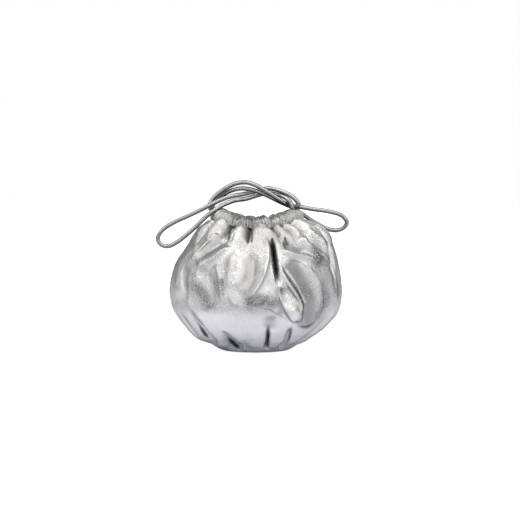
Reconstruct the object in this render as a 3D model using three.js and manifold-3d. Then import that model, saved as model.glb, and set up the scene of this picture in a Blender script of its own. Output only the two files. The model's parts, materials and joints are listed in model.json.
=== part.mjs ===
// Drawstring dolly bag of crinkled silver leather, standing on its base.
// Millimetres, +Z up. The origin is on the floor under the middle of the bag and the front faces -Y.
// A turn is an angle round the bag: 0 at the front, 90 at the right-hand end, 180 at the back.
import * as THREE from "three";
import { mergeVertices } from "three/addons/utils/BufferGeometryUtils.js";
import Module from "manifold-3d";

// Driving dimensions
const BODY_WIDTH = 207;
const BODY_DEPTH = 160;
const BODY_HEIGHT = 154; // floor to the body's top edge, at the two ends of the neck
const BODY_WALL = 2;
const BASE_WIDTH = 74;
const BASE_DEPTH = 60;
const BASE_THICKNESS = 2;
const TURNED_EDGE = 3.5; // leather of the body that lies flat on the floor round the base panel
const NECK_WIDTH = 88; // across the middle of the drawn-up channel
const NECK_DEPTH = 54;
const NECK_OFFSET = 2; // the gathers sit a little to the right of the middle
const MOUTH_DIP_FRONT = 6;
const MOUTH_DIP_BACK = 9;
const CASING_WALL = 1.4;
const PUFF_OUT = 3.2;
const PUFF_UP = 2.2;
const LOBE_OUT = 6;
const CORD_DIAMETER = 5;
const CHANNEL_CLEARANCE = 0.7; // round each cord inside the casing
const EYELET_CLEARANCE = 0.8;
const PIECE_GAP = 0.3;
const FOLD_WIDTH = 9;
const FOLD_DEPTH = 12;
const DENT_DEPTH = 8;
const LEFT_EXIT_TURN = -90;
const RIGHT_EXIT_TURN = 90;
const EXIT_SPREAD = 24; // degrees from an exit to where its cords join their round

// Shapes of the folds, as plain shares
const CREASE_SHARPNESS = 1.4; // 1 is a sharp crease and 2 a rounded one
const FURROW_START_WIDTH = 0.55; // of its full width, where a furrow starts
const PUFF_ROUNDNESS = 0.6;
const LOBES_FROM = 0.78; // share of the height where the neck's lobes begin
const LOBES_FULL = 0.96;
const EDGE_FLATNESS = 0.6; // how much of the folds is lost where the casing grips the edge
const EDGE_FROM = 0.95;
const DIP_FROM = 0.8;
const FLOOR_FOLDS_FULL = 0.06;
const SHOULDER_FULLNESS = 0.12; // how much wider the casing's shoulders are than an ellipse's
const SHOULDER_ROUNDNESS = 0.5;

// How finely the surfaces are divided
const BODY_COLUMNS = 88;
const FRONT_CROWDING = 0.25;
const CASING_COLUMNS = 72;
const CHANNEL_COLUMNS = 48;
const CASING_SECTION_POINTS = 10;
const CORD_STEPS = 40;
const CORD_SIDES = 10;
const HIDDEN_CORD_STEPS = 30;
const HIDDEN_CORD_SIDES = 8;
const BASE_SEGMENTS = 24;
const HIDDEN_CORD_POINTS = 20;
const EYELET_POINTS = 5;
const EYELET_STEPS = 9;

// Sections of the body, from the floor up. height is a share of BODY_HEIGHT. The others say how far the
// section has swollen from the base, or higher up from the neck, to the full width or depth.
const SECTIONS = [
  { height: 0.0, left: 0.0, right: 0.0, front: 0.0, back: 0.0 },
  { height: 0.013, left: 0.08, right: 0.08, front: 0.08, back: 0.08 },
  { height: 0.036, left: 0.2, right: 0.19, front: 0.22, back: 0.22 },
  { height: 0.06, left: 0.35, right: 0.32, front: 0.37, back: 0.37 },
  { height: 0.106, left: 0.55, right: 0.5, front: 0.57, back: 0.58 },
  { height: 0.177, left: 0.72, right: 0.72, front: 0.75, back: 0.76 },
  { height: 0.27, left: 0.87, right: 0.91, front: 0.89, back: 0.9 },
  { height: 0.364, left: 0.96, right: 0.98, front: 0.97, back: 0.97 },
  { height: 0.468, left: 1.0, right: 1.0, front: 1.0, back: 1.0 },
  { height: 0.571, left: 0.95, right: 0.97, front: 0.97, back: 0.96 },
  { height: 0.669, left: 0.85, right: 0.92, front: 0.88, back: 0.86 },
  { height: 0.76, left: 0.7, right: 0.86, front: 0.73, back: 0.71 },
  { height: 0.831, left: 0.55, right: 0.78, front: 0.58, back: 0.56 },
  { height: 0.877, left: 0.44, right: 0.69, front: 0.45, back: 0.44 },
  { height: 0.916, left: 0.31, right: 0.53, front: 0.32, back: 0.31 },
  { height: 0.948, left: 0.17, right: 0.28, front: 0.18, back: 0.18 },
  { height: 0.974, left: 0.06, right: 0.1, front: 0.07, back: 0.07 },
  { height: 1.0, left: 0.0, right: 0.0, front: 0.0, back: 0.0 },
];
const WIDEST_HEIGHT = 0.468;

// Furrows that run down from the drawn-up neck. turn is in degrees at the neck and lean is how far it has
// moved round by its lower end, whose height is reach. width and depth are shares of a fold's.
const GATHERS = [
  { turn: -85, lean: -3, reach: 0.72, width: 0.5, depth: 0.45 },
  { turn: -61, lean: 6, reach: 0.4, width: 0.8, depth: 0.6 },
  { turn: -33, lean: 9, reach: 0.72, width: 0.5, depth: 0.7 },
  { turn: -21, lean: 2, reach: 0.82, width: 0.35, depth: 0.35 },
  { turn: -4.5, lean: -2, reach: 0.45, width: 0.8, depth: 0.6 },
  { turn: 20, lean: -7, reach: 0.45, width: 0.4, depth: 1.0 },
  { turn: 33, lean: -7, reach: 0.82, width: 0.4, depth: 0.6 },
  { turn: 48, lean: -4, reach: 0.7, width: 0.5, depth: 0.5 },
  { turn: 66, lean: 6, reach: 0.42, width: 0.6, depth: 0.6 },
  { turn: 85, lean: 4, reach: 0.7, width: 0.5, depth: 0.45 },
  { turn: 105, lean: -4, reach: 0.5, width: 0.6, depth: 0.6 },
  { turn: 127, lean: 3, reach: 0.68, width: 0.6, depth: 0.7 },
  { turn: 146, lean: 5, reach: 0.45, width: 0.7, depth: 0.8 },
  { turn: 163, lean: -3, reach: 0.72, width: 0.5, depth: 0.6 },
  { turn: 181, lean: 2, reach: 0.5, width: 0.7, depth: 0.8 },
  { turn: 199, lean: 4, reach: 0.7, width: 0.5, depth: 0.6 },
  { turn: 220, lean: -5, reach: 0.48, width: 0.7, depth: 0.8 },
  { turn: 238, lean: 3, reach: 0.72, width: 0.6, depth: 0.6 },
  { turn: 256, lean: -4, reach: 0.55, width: 0.6, depth: 0.6 },
];

// Tucks that run up from the base, with the same columns.
const TUCKS = [
  { turn: -88, lean: 3, reach: 0.3, width: 0.8, depth: 0.5 },
  { turn: -66, lean: 2, reach: 0.36, width: 0.8, depth: 0.5 },
  { turn: -43, lean: -3, reach: 0.42, width: 0.7, depth: 0.9 },
  { turn: -19, lean: -8, reach: 0.2, width: 0.7, depth: 0.9 },
  { turn: 15, lean: -6, reach: 0.3, width: 0.5, depth: 0.8 },
  { turn: 33, lean: -7, reach: 0.2, width: 0.5, depth: 0.6 },
  { turn: 55, lean: 2, reach: 0.3, width: 0.7, depth: 0.4 },
  { turn: 78, lean: 4, reach: 0.34, width: 0.8, depth: 0.5 },
  { turn: 102, lean: -3, reach: 0.32, width: 0.8, depth: 0.6 },
  { turn: 128, lean: 4, reach: 0.3, width: 0.8, depth: 0.7 },
  { turn: 152, lean: -2, reach: 0.36, width: 0.7, depth: 0.6 },
  { turn: 177, lean: 5, reach: 0.28, width: 0.8, depth: 0.8 },
  { turn: 203, lean: -3, reach: 0.34, width: 0.7, depth: 0.7 },
  { turn: 228, lean: 4, reach: 0.3, width: 0.8, depth: 0.6 },
  { turn: 250, lean: -2, reach: 0.34, width: 0.8, depth: 0.6 },
];

// Ridges and hollows across the belly. They run from turn and height to endTurn and endHeight, bowed
// sideways by bow degrees at the middle. Heights are shares of BODY_HEIGHT, width is a share of
// FOLD_WIDTH and rise one of DENT_DEPTH, below zero for a hollow.
const FOLDS = [
  { turn: 8, height: 0.84, endTurn: -8, endHeight: 0.42, bow: 5, width: 0.8, rise: 0.8 },
  { turn: 17, height: 0.76, endTurn: 28, endHeight: 0.26, bow: 2, width: 0.8, rise: 0.9 },
  { turn: 31, height: 0.7, endTurn: 33, endHeight: 0.3, bow: 2, width: 1.7, rise: -1.1 },
  { turn: 49, height: 0.72, endTurn: 47, endHeight: 0.28, bow: 3, width: 0.8, rise: 0.5 },
  { turn: 42, height: 0.88, endTurn: 52, endHeight: 0.68, bow: 0, width: 1.0, rise: 0.7 },
  { turn: -41, height: 0.9, endTurn: -62, endHeight: 0.7, bow: 0, width: 0.9, rise: 0.6 },
  { turn: -20, height: 0.82, endTurn: -36, endHeight: 0.66, bow: -2, width: 0.9, rise: 0.7 },
  { turn: -29, height: 0.66, endTurn: -21, endHeight: 0.44, bow: 1, width: 0.7, rise: 0.5 },
  { turn: -46, height: 0.66, endTurn: -38, endHeight: 0.36, bow: 0, width: 1.5, rise: -0.5 },
  { turn: 12, height: 0.32, endTurn: 8, endHeight: 0.12, bow: 0, width: 1.2, rise: -0.5 },
  { turn: 118, height: 0.74, endTurn: 112, endHeight: 0.3, bow: 4, width: 1.3, rise: -0.8 },
  { turn: 137, height: 0.78, endTurn: 141, endHeight: 0.34, bow: -3, width: 1.0, rise: 0.7 },
  { turn: 172, height: 0.72, endTurn: 166, endHeight: 0.36, bow: 4, width: 1.5, rise: -0.8 },
  { turn: 190, height: 0.78, endTurn: 196, endHeight: 0.4, bow: -3, width: 1.0, rise: 0.8 },
  { turn: 229, height: 0.74, endTurn: 222, endHeight: 0.36, bow: 3, width: 1.4, rise: -0.8 },
  { turn: 246, height: 0.76, endTurn: 240, endHeight: 0.4, bow: 2, width: 1.0, rise: 0.6 },
];

// Route of the drawstring that leaves the neck on the left and loops on the right, chosen by hand.
const LEFT_CORD_ROUTE = [
  [-53.6, -3.0, 167.4],
  [-54.2, -1.5, 172.4],
  [-50.6, 0.5, 179.4],
  [-43.6, 1.5, 186.4],
  [-34, 1.5, 193],
  [-22, -0.5, 198.2],
  [-10, -4, 199.2],
  [0.8, -7, 195.8],
  [12.8, -8.8, 189.2],
  [24, -8.2, 182],
  [34, -3.5, 175.2],
  [42, 4, 171.6],
  [52.4, 8.6, 170],
  [68, 9.4, 167.3],
  [89.6, 10, 164],
  [104, 11, 159.2],
  [110, 12, 151.5],
  [106.4, 14.4, 144.8],
  [98, 16, 141.4],
  [87.2, 18, 143],
  [75.2, 20, 149],
  [65, 21, 155.2],
  [56, 20.5, 161.6],
  [45.6, 14, 168.4],
  [34.4, 5.4, 173.6],
  [23.6, -2.2, 179.2],
  [12.4, -3.4, 184.6],
  [-0.4, -3.6, 189.6],
  [-16, 0.4, 192],
  [-30.4, 5, 188.6],
  [-40.4, 6.6, 182.6],
  [-48.4, 6.2, 175.4],
  [-52.4, 3.8, 167.4],
];

// Route of the drawstring that leaves the neck on the right and loops on the left, chosen by hand.
const RIGHT_CORD_ROUTE = [
  [47.2, 0.4, 168.8],
  [51.6, -1.6, 173],
  [47, -1.6, 179.8],
  [38, -0.5, 185.8],
  [26, 1, 190.2],
  [14.6, 2.6, 192],
  [1.6, 5, 189],
  [-13.6, 2.8, 185.4],
  [-28, -3.4, 183],
  [-39.2, -6, 179.4],
  [-53.2, -8.6, 172.8],
  [-66.4, -9.4, 166],
  [-80.8, -9.6, 159.2],
  [-95.2, -9.6, 152.6],
  [-107.2, -9.4, 145.4],
  [-113.8, -9.2, 138.4],
  [-115.6, -9.2, 131.6],
  [-111.6, -9.4, 125.6],
  [-103.6, -10, 123.8],
  [-92.8, -11, 128.6],
  [-82, -12.4, 136.8],
  [-71.8, -13.8, 145.8],
  [-62.8, -14.8, 154.6],
  [-52, -15, 164],
  [-40, -10.5, 171.6],
  [-25.6, -5, 177.6],
  [-11.2, 0.4, 179.8],
  [3.2, 3.6, 184],
  [14, 5, 186.4],
  [23.6, 4, 185.2],
  [32, 1.2, 183],
  [39, -3.4, 178.8],
  [43.4, -5.4, 171.8],
  [44.6, -5.2, 167.6],
];

const SILVER = { color: 0xc9c8c6, metalness: 0.95, roughness: 0.34 };
const SILVER_HEM = { color: 0xbcbcbc, metalness: 0.95, roughness: 0.38 };
const SILVER_CORD = { color: 0xa9a9ab, metalness: 0.9, roughness: 0.4 };

const cordRadius = CORD_DIAMETER / 2;
const cordOffset = (CORD_DIAMETER + CHANNEL_CLEARANCE) / 2;
const channelHalfWidth = cordOffset + cordRadius + CHANNEL_CLEARANCE;
const channelHalfHeight = cordRadius + CHANNEL_CLEARANCE;
const casingHalfWidth = channelHalfWidth + CASING_WALL;
const casingHalfHeight = channelHalfHeight + CASING_WALL;
const casingHeight = BODY_HEIGHT + PIECE_GAP + casingHalfHeight;
const neckEdge = casingHalfWidth - BODY_WALL;

const manifold = await Module();
manifold.setup();

function radians(degrees) {
  return THREE.MathUtils.degToRad(degrees);
}

// Turns in degrees round the bag, closer together at the front than at the back.
function turnsRound(count, crowding) {
  return Array.from({ length: count }, (_, i) => {
    const even = (2 * Math.PI * i) / count;
    return THREE.MathUtils.radToDeg(even - crowding * Math.sin(even));
  });
}

// The signed difference between two turns, from -180 to 180.
function turnGap(a, b) {
  return ((((a - b + 180) % 360) + 360) % 360) - 180;
}

// A turn brought into the 360 degrees that start at another.
function turnFrom(first, turn) {
  return first + ((((turn - first) % 360) + 360) % 360);
}

// How far a puff stands out at a turn, from 0 in a furrow to 1 or a little more in a wide puff's middle.
function puff(turn) {
  const furrows = GATHERS.map((row) => row.turn);
  const spacing = 360 / furrows.length;
  const bounds = [...furrows, furrows[0] + 360];
  const here = turnFrom(furrows[0], turn);
  const next = bounds.findIndex((furrow) => furrow > here);
  const [left, right] = [bounds[next - 1], bounds[next]];
  const share = (here - left) / (right - left);
  const size = Math.sqrt((right - left) / spacing);
  return size * Math.pow(Math.max(0, 4 * share * (1 - share)), PUFF_ROUNDNESS);
}

// How far the mouth sags below its two ends at a turn.
function mouthDip(turn) {
  const facing = Math.cos(radians(turn));
  const depth = facing > 0 ? MOUTH_DIP_FRONT : MOUTH_DIP_BACK;
  return depth * facing * facing;
}

// A point of an oval round the neck, set off from the middle of the channel by out and up.
function neckPoint(turn, out, up) {
  const angle = radians(turn);
  const x = NECK_OFFSET + (NECK_WIDTH / 2 + out) * Math.sin(angle);
  const y = -(NECK_DEPTH / 2 + out) * Math.cos(angle);
  return new THREE.Vector3(x, y, casingHeight - mouthDip(turn) + up);
}

// The half widths of a section of the body at a turn: across, and front to back.
function sectionSize(section, turn) {
  const angle = radians(turn);
  const below = section.height < WIDEST_HEIGHT;
  const side = Math.sin(angle) > 0 ? section.right : section.left;
  const deep = Math.cos(angle) > 0 ? section.front : section.back;
  const shift = below ? 0 : NECK_OFFSET * Math.sign(Math.sin(angle));
  const edgeWidth = below
    ? BASE_WIDTH / 2 + PIECE_GAP + TURNED_EDGE
    : NECK_WIDTH / 2 + neckEdge + shift;
  const edgeDepth = below
    ? BASE_DEPTH / 2 + PIECE_GAP + TURNED_EDGE
    : NECK_DEPTH / 2 + neckEdge;
  return {
    across: edgeWidth + (BODY_WIDTH / 2 - edgeWidth) * side,
    deep: edgeDepth + (BODY_DEPTH / 2 - edgeDepth) * deep,
  };
}

// The smooth form without folds.
function formPoint(section, turn) {
  const angle = radians(turn);
  const size = sectionSize(section, turn);
  const drop = mouthDip(turn) * THREE.MathUtils.smoothstep(section.height, DIP_FROM, 1);
  return new THREE.Vector3(
    size.across * Math.sin(angle),
    -size.deep * Math.cos(angle),
    section.height * BODY_HEIGHT - drop,
  );
}

// A fold's cross-section: 1 on its line and falling away on both sides, with a soft crease.
function crease(distance, width) {
  return Math.exp(-Math.pow(Math.abs(distance) / width, CREASE_SHARPNESS));
}

// The depth of the furrows that start at one end of the body, at progress 0, and fade out.
function furrowDepth(rows, progressOf, turn, radius) {
  return rows.reduce((sum, row) => {
    const progress = progressOf(row);
    if (progress < 0 || progress > 1) return sum;
    const centre = row.turn + row.lean * progress;
    const distance = radians(turnGap(turn, centre)) * radius;
    const fade = Math.cos((progress * Math.PI) / 2);
    const width = row.width * FOLD_WIDTH * THREE.MathUtils.lerp(FURROW_START_WIDTH, 1, progress);
    return sum + row.depth * FOLD_DEPTH * fade * crease(distance, width);
  }, 0);
}

// The rise of the belly's ridges, less the depth of its hollows.
function bellyRise(height, turn, radius) {
  return FOLDS.reduce((sum, fold) => {
    const progress = (fold.height - height) / (fold.height - fold.endHeight);
    if (progress < 0 || progress > 1) return sum;
    const bow = fold.bow * 4 * progress * (1 - progress);
    const centre = THREE.MathUtils.lerp(fold.turn, fold.endTurn, progress) + bow;
    const distance = radians(turnGap(turn, centre)) * radius;
    const fade = Math.sin(progress * Math.PI);
    return sum + fold.rise * DENT_DEPTH * fade * crease(distance, fold.width * FOLD_WIDTH);
  }, 0);
}

// How far the leather stands out from the smooth form, in a section at a turn.
function foldOffset(section, turn) {
  const { height } = section;
  const size = sectionSize(section, turn);
  const radius = (size.across + size.deep) / 2;
  const fromNeck = furrowDepth(GATHERS, (row) => (1 - height) / (1 - row.reach), turn, radius);
  const fromBase = furrowDepth(TUCKS, (row) => height / row.reach, turn, radius);
  const lobes = LOBE_OUT * puff(turn) * THREE.MathUtils.smoothstep(height, LOBES_FROM, LOBES_FULL);
  const clearOfFloor = THREE.MathUtils.smoothstep(height, 0, FLOOR_FOLDS_FULL);
  const underCasing = 1 - EDGE_FLATNESS * THREE.MathUtils.smoothstep(height, EDGE_FROM, 1);
  const belly = bellyRise(height, turn, radius);
  return underCasing * (lobes - fromNeck) + clearOfFloor * (belly - fromBase);
}

// Unit normal of the smooth form in the upright plane of a turn, pointing out.
function outwards(index, turn) {
  const below = SECTIONS[Math.max(index - 1, 0)];
  const above = SECTIONS[Math.min(index + 1, SECTIONS.length - 1)];
  const along = formPoint(above, turn).sub(formPoint(below, turn));
  const angle = radians(turn);
  const ahead = new THREE.Vector3(Math.cos(angle), Math.sin(angle), 0);
  return ahead.cross(along).normalize();
}

// One ring of the body's leather, depth below its outer face.
function bodyRing(index, turns, depth) {
  const section = SECTIONS[index];
  return turns.map((turn) => {
    const normal = outwards(index, turn);
    const point = formPoint(section, turn);
    const onFloor = index === 0;
    const onEdge = index === SECTIONS.length - 1;
    if (onFloor) normal.set(0, 0, -1);
    if (onEdge) normal.setZ(0).normalize();
    return point.addScaledVector(normal, foldOffset(section, turn) - depth);
  });
}

// The ring of the body's turned-in edge, against the base panel, at a height above the floor.
function turnedEdgeRing(turns, height) {
  return turns.map((turn) => {
    const angle = radians(turn);
    const x = (BASE_WIDTH / 2 + PIECE_GAP) * Math.sin(angle);
    const y = -(BASE_DEPTH / 2 + PIECE_GAP) * Math.cos(angle);
    return new THREE.Vector3(x, y, height);
  });
}

// A closed surface through a loop of rings with equal numbers of points, faces pointing out.
function closedGrid(rings) {
  const rows = rings.length;
  const columns = rings[0].length;
  const index = [];
  for (let i = 0; i < rows; i += 1) {
    for (let j = 0; j < columns; j += 1) {
      const a = i * columns + j;
      const b = i * columns + ((j + 1) % columns);
      const c = ((i + 1) % rows) * columns + j;
      const d = ((i + 1) % rows) * columns + ((j + 1) % columns);
      index.push(a, b, d, a, d, c);
    }
  }
  const points = rings.flat();
  if (signedVolume(points, index) < 0) index.reverse();
  const geometry = new THREE.BufferGeometry().setFromPoints(points);
  geometry.setIndex(index);
  return geometry;
}

function signedVolume(points, index) {
  let sum = 0;
  for (let i = 0; i < index.length; i += 3) {
    const [a, b, c] = [points[index[i]], points[index[i + 1]], points[index[i + 2]]];
    sum += a.dot(b.clone().cross(c));
  }
  return sum / 6;
}

// A round cord along a line of points.
function cordGeometry(points, radius, steps, sides) {
  const section = new THREE.Shape(
    Array.from({ length: sides }, (_, i) => {
      const angle = (2 * Math.PI * i) / sides;
      return new THREE.Vector2(radius * Math.cos(angle), radius * Math.sin(angle));
    }),
  );
  const extrudePath = new THREE.CatmullRomCurve3(points, false, "centripetal");
  return new THREE.ExtrudeGeometry(section, { steps, extrudePath, bevelEnabled: false });
}

// Boolean solids
function toSolid(geometry) {
  const bare = geometry.index ? geometry.toNonIndexed() : geometry.clone();
  bare.deleteAttribute("normal");
  bare.deleteAttribute("uv");
  const merged = mergeVertices(bare, 1e-4);
  return new manifold.Manifold(
    new manifold.Mesh({
      numProp: 3,
      vertProperties: merged.getAttribute("position").array,
      triVerts: new Uint32Array(merged.index.array),
    }),
  );
}

function fromSolid(solid) {
  const mesh = solid.getMesh();
  const geometry = new THREE.BufferGeometry();
  geometry.setAttribute("position", new THREE.BufferAttribute(mesh.vertProperties, 3));
  geometry.setIndex(new THREE.BufferAttribute(mesh.triVerts, 1));
  return geometry;
}

function namedMesh(name, geometry, finish) {
  geometry.computeVertexNormals();
  const mesh = new THREE.Mesh(geometry, new THREE.MeshStandardMaterial(finish));
  mesh.name = name;
  return mesh;
}

// The pouch: one pleated wall, open at the neck, turned in flat round the base panel.
function body() {
  const turns = turnsRound(BODY_COLUMNS, FRONT_CROWDING);
  const top = SECTIONS.length - 1;
  const outer = SECTIONS.map((_, index) => bodyRing(index, turns, 0));
  const innerRows = SECTIONS.map((_, index) => top - index).filter((index) => index % 2 === top % 2);
  const inner = innerRows.map((index) => bodyRing(index, turns, BODY_WALL));
  const turnedIn = [turnedEdgeRing(turns, BODY_WALL), turnedEdgeRing(turns, 0)];
  return namedMesh("body", closedGrid([...outer, ...inner, ...turnedIn]), SILVER);
}

// The oval panel that the body's pleats close on.
function base() {
  const outline = new THREE.Shape();
  outline.absellipse(0, 0, BASE_WIDTH / 2, BASE_DEPTH / 2, 0, 2 * Math.PI);
  const panel = new THREE.ExtrudeGeometry(outline, {
    depth: BASE_THICKNESS,
    curveSegments: BASE_SEGMENTS,
    bevelEnabled: false,
  });
  return namedMesh("base", panel, SILVER);
}

// The outside of the ruffled casing: a rounded section that swells between furrows.
function casingRing(turn) {
  const swell = puff(turn);
  return Array.from({ length: CASING_SECTION_POINTS }, (_, i) => {
    const angle = (2 * Math.PI * (i + 0.5)) / CASING_SECTION_POINTS;
    const across = Math.cos(angle);
    const up = Math.sin(angle);
    const shoulder = 1 + SHOULDER_FULLNESS * Math.abs(up);
    const out = across * (casingHalfWidth + swell * PUFF_OUT) * shoulder;
    const rise = Math.sign(up) * casingHalfHeight * Math.pow(Math.abs(up), SHOULDER_ROUNDNESS);
    const lift = Math.max(0, up) * swell * PUFF_UP;
    return neckPoint(turn, out, rise + lift);
  });
}

// The channel inside the casing, a box with its corners cut, where the two cords lie side by side.
function channelRing(turn) {
  const corner = channelHalfHeight / 2;
  const w = channelHalfWidth;
  const h = channelHalfHeight;
  const corners = [
    [w, -h + corner],
    [w, h - corner],
    [w - corner, h],
    [corner - w, h],
    [-w, h - corner],
    [-w, corner - h],
    [corner - w, -h],
    [w - corner, -h],
  ];
  return corners.map(([out, up]) => neckPoint(turn, out, up));
}

// The stretch of a cord that runs inside the casing, from a lead-in round the neck to a lead-out.
function hiddenRoute(leadIn, leadOut, firstTurn, lastTurn, offset) {
  const round = Array.from({ length: HIDDEN_CORD_POINTS + 1 }, (_, i) =>
    neckPoint(THREE.MathUtils.lerp(firstTurn, lastTurn, i / HIDDEN_CORD_POINTS), offset, 0),
  );
  return [...leadIn, ...round, ...leadOut];
}

function routePoints(route) {
  return route.map((point) => new THREE.Vector3(...point));
}

// Where a cord's hidden stretch ends: on its free stretch's line, a gap before its first point.
function joint(route, end) {
  const points = routePoints(end === 0 ? route : [...route].reverse());
  const along = new THREE.CatmullRomCurve3(points, false, "centripetal").getTangent(0);
  return { face: points[0].clone().addScaledVector(along, -PIECE_GAP), along };
}

function hiddenCordPoints(route, firstTurn, lastTurn, offset) {
  const start = joint(route, 0);
  const finish = joint(route, -1);
  const lead = (end) => [end.face, end.face.clone().addScaledVector(end.along, -cordRadius)];
  return hiddenRoute(lead(start), lead(finish).reverse(), firstTurn, lastTurn, offset);
}

const leftHidden = hiddenCordPoints(
  LEFT_CORD_ROUTE,
  LEFT_EXIT_TURN + EXIT_SPREAD,
  LEFT_EXIT_TURN + 360 - EXIT_SPREAD,
  cordOffset,
);
const rightHidden = hiddenCordPoints(
  RIGHT_CORD_ROUTE,
  RIGHT_EXIT_TURN + EXIT_SPREAD,
  RIGHT_EXIT_TURN + 360 - EXIT_SPREAD,
  -cordOffset,
);

// The two ways out of the casing for one cord, each a short bore round its hidden and free stretches.
function eyelets(route, hidden) {
  const free = routePoints(route);
  const starts = [
    [free[1], free[0], ...hidden.slice(0, EYELET_POINTS)],
    [free.at(-2), free.at(-1), ...hidden.slice(-EYELET_POINTS).reverse()],
  ];
  const radius = cordRadius + EYELET_CLEARANCE;
  return starts.map((points) => toSolid(cordGeometry(points, radius, EYELET_STEPS, CORD_SIDES)));
}

// The ruffled casing: hollow, with an opening at each end of the neck where the cords come out.
function casing() {
  const outside = turnsRound(CASING_COLUMNS, FRONT_CROWDING).map(casingRing);
  const channel = turnsRound(CHANNEL_COLUMNS, 0).map(channelRing);
  const cuts = [...eyelets(LEFT_CORD_ROUTE, leftHidden), ...eyelets(RIGHT_CORD_ROUTE, rightHidden)];
  let solid = toSolid(closedGrid(outside)).subtract(toSolid(closedGrid(channel)));
  for (const cut of cuts) solid = solid.subtract(cut);
  return namedMesh("casing", fromSolid(solid), SILVER_HEM);
}

function freeCord(name, route) {
  const geometry = cordGeometry(routePoints(route), cordRadius, CORD_STEPS, CORD_SIDES);
  return namedMesh(name, geometry, SILVER_CORD);
}

function hiddenCord(name, points) {
  const geometry = cordGeometry(points, cordRadius, HIDDEN_CORD_STEPS, HIDDEN_CORD_SIDES);
  return namedMesh(name, geometry, SILVER_CORD);
}

const pouch = new THREE.Group();
pouch.add(body(), base());
const drawstrings = new THREE.Group();
drawstrings.add(
  freeCord("drawstring_left", LEFT_CORD_ROUTE),
  freeCord("drawstring_right", RIGHT_CORD_ROUTE),
  hiddenCord("drawstring_left_in_casing", leftHidden),
  hiddenCord("drawstring_right_in_casing", rightHidden),
);
const bag = new THREE.Group();
bag.add(pouch, casing(), drawstrings);

export default bag;
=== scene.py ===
"""Dolly bag of crinkled silver leather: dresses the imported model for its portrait.

Metres, +Z up, the front faces -Y. A turn is an angle round the bag in degrees: 0 at the front, 90 at the
right-hand end, 180 at the back. Heights of the body are shares of its height. The tables of folds give
widths and rises in millimetres, and the places of the front's folds in pixels of the photograph.
"""

import json
import logging
import math
from collections.abc import Callable
from dataclasses import dataclass
from enum import Enum

import bpy
import numpy as np
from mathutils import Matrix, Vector

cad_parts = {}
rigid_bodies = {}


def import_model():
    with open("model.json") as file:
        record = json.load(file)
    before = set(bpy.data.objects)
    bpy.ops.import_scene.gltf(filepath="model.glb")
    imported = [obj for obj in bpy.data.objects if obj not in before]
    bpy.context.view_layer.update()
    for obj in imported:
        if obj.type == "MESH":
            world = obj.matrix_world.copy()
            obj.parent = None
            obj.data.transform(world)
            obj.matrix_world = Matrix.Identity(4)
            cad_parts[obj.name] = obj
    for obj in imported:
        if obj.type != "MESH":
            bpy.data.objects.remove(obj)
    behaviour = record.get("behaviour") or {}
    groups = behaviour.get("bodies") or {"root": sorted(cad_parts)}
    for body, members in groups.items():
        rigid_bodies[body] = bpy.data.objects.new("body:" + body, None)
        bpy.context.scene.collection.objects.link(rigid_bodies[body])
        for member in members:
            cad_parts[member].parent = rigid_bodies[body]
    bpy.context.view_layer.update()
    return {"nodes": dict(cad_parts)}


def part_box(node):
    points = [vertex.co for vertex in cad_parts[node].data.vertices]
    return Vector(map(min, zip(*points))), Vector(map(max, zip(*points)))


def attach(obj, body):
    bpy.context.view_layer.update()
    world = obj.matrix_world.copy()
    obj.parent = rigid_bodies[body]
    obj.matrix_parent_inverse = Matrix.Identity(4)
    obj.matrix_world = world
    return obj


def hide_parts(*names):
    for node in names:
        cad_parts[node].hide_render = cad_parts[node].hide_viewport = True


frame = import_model()

log = logging.getLogger("dolly_bag")
logging.basicConfig(level=logging.INFO, format="%(name)s: %(message)s")

MM = 0.001

# The body's greatest width and depth, and how far the casing's middle stands above the body's height
BODY_WIDTH = 207 * MM
BODY_DEPTH = 160 * MM
CASING_RISE = 3.6 * MM

# How the photograph's pixels lie on the upright plane through the bag's middle
PHOTO_SIZE = 520
PIXEL = 1.2 * MM
PHOTO_MIDDLE_X = 255.3
PHOTO_FLOOR_Y = 348.7
CAMERA_DISTANCE = 1.6
CAMERA_ELEVATION = math.radians(4.0)
SENSOR = 36.0

# How far to each side of its line a fold's two sides blend
EDGE_BLEND = 1.2 * MM

# The furthest that a flat panel may stand out of or lie in from the smooth form
FACET_REACH = 7.0 * MM

# How steep the flanks of furrows, belly folds and marks are: 1 a crease, 2 a round swell, 3 an even patch
FURROW_SHARPNESS = 1.3
BELLY_SHARPNESS = 1.7
MARK_SHARPNESS = 3

# A furrow's width where it starts and what it has gained where it ends, as shares of its stated width
FURROW_START = 0.6
FURROW_WIDENING = 0.8

# A painted shade mark's width at its very ends, as a share of its width in the middle
MARK_END_WIDTH = 0.3

# How far in front of the bag's middle panels and marks begin, and where the folds have their full rise
PANEL_FRONT = 10 * MM
MARK_FRONT = 2 * MM
FOLD_FRONT = 20 * MM

# How many reaches from its line a fold is worked out, and a mark in half widths
FOLD_SPAN = 3.5
MARK_SPAN = 2

# The least that a point's normal counts as facing a flat panel
LEAST_FACING = 0.3

# How full the puffs between the furrows are: lower is fuller
PUFF_POWER = 0.6

# Points along the line of a fold or mark
LINE_POINTS = 24
PANEL_POINTS = 16

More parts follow.
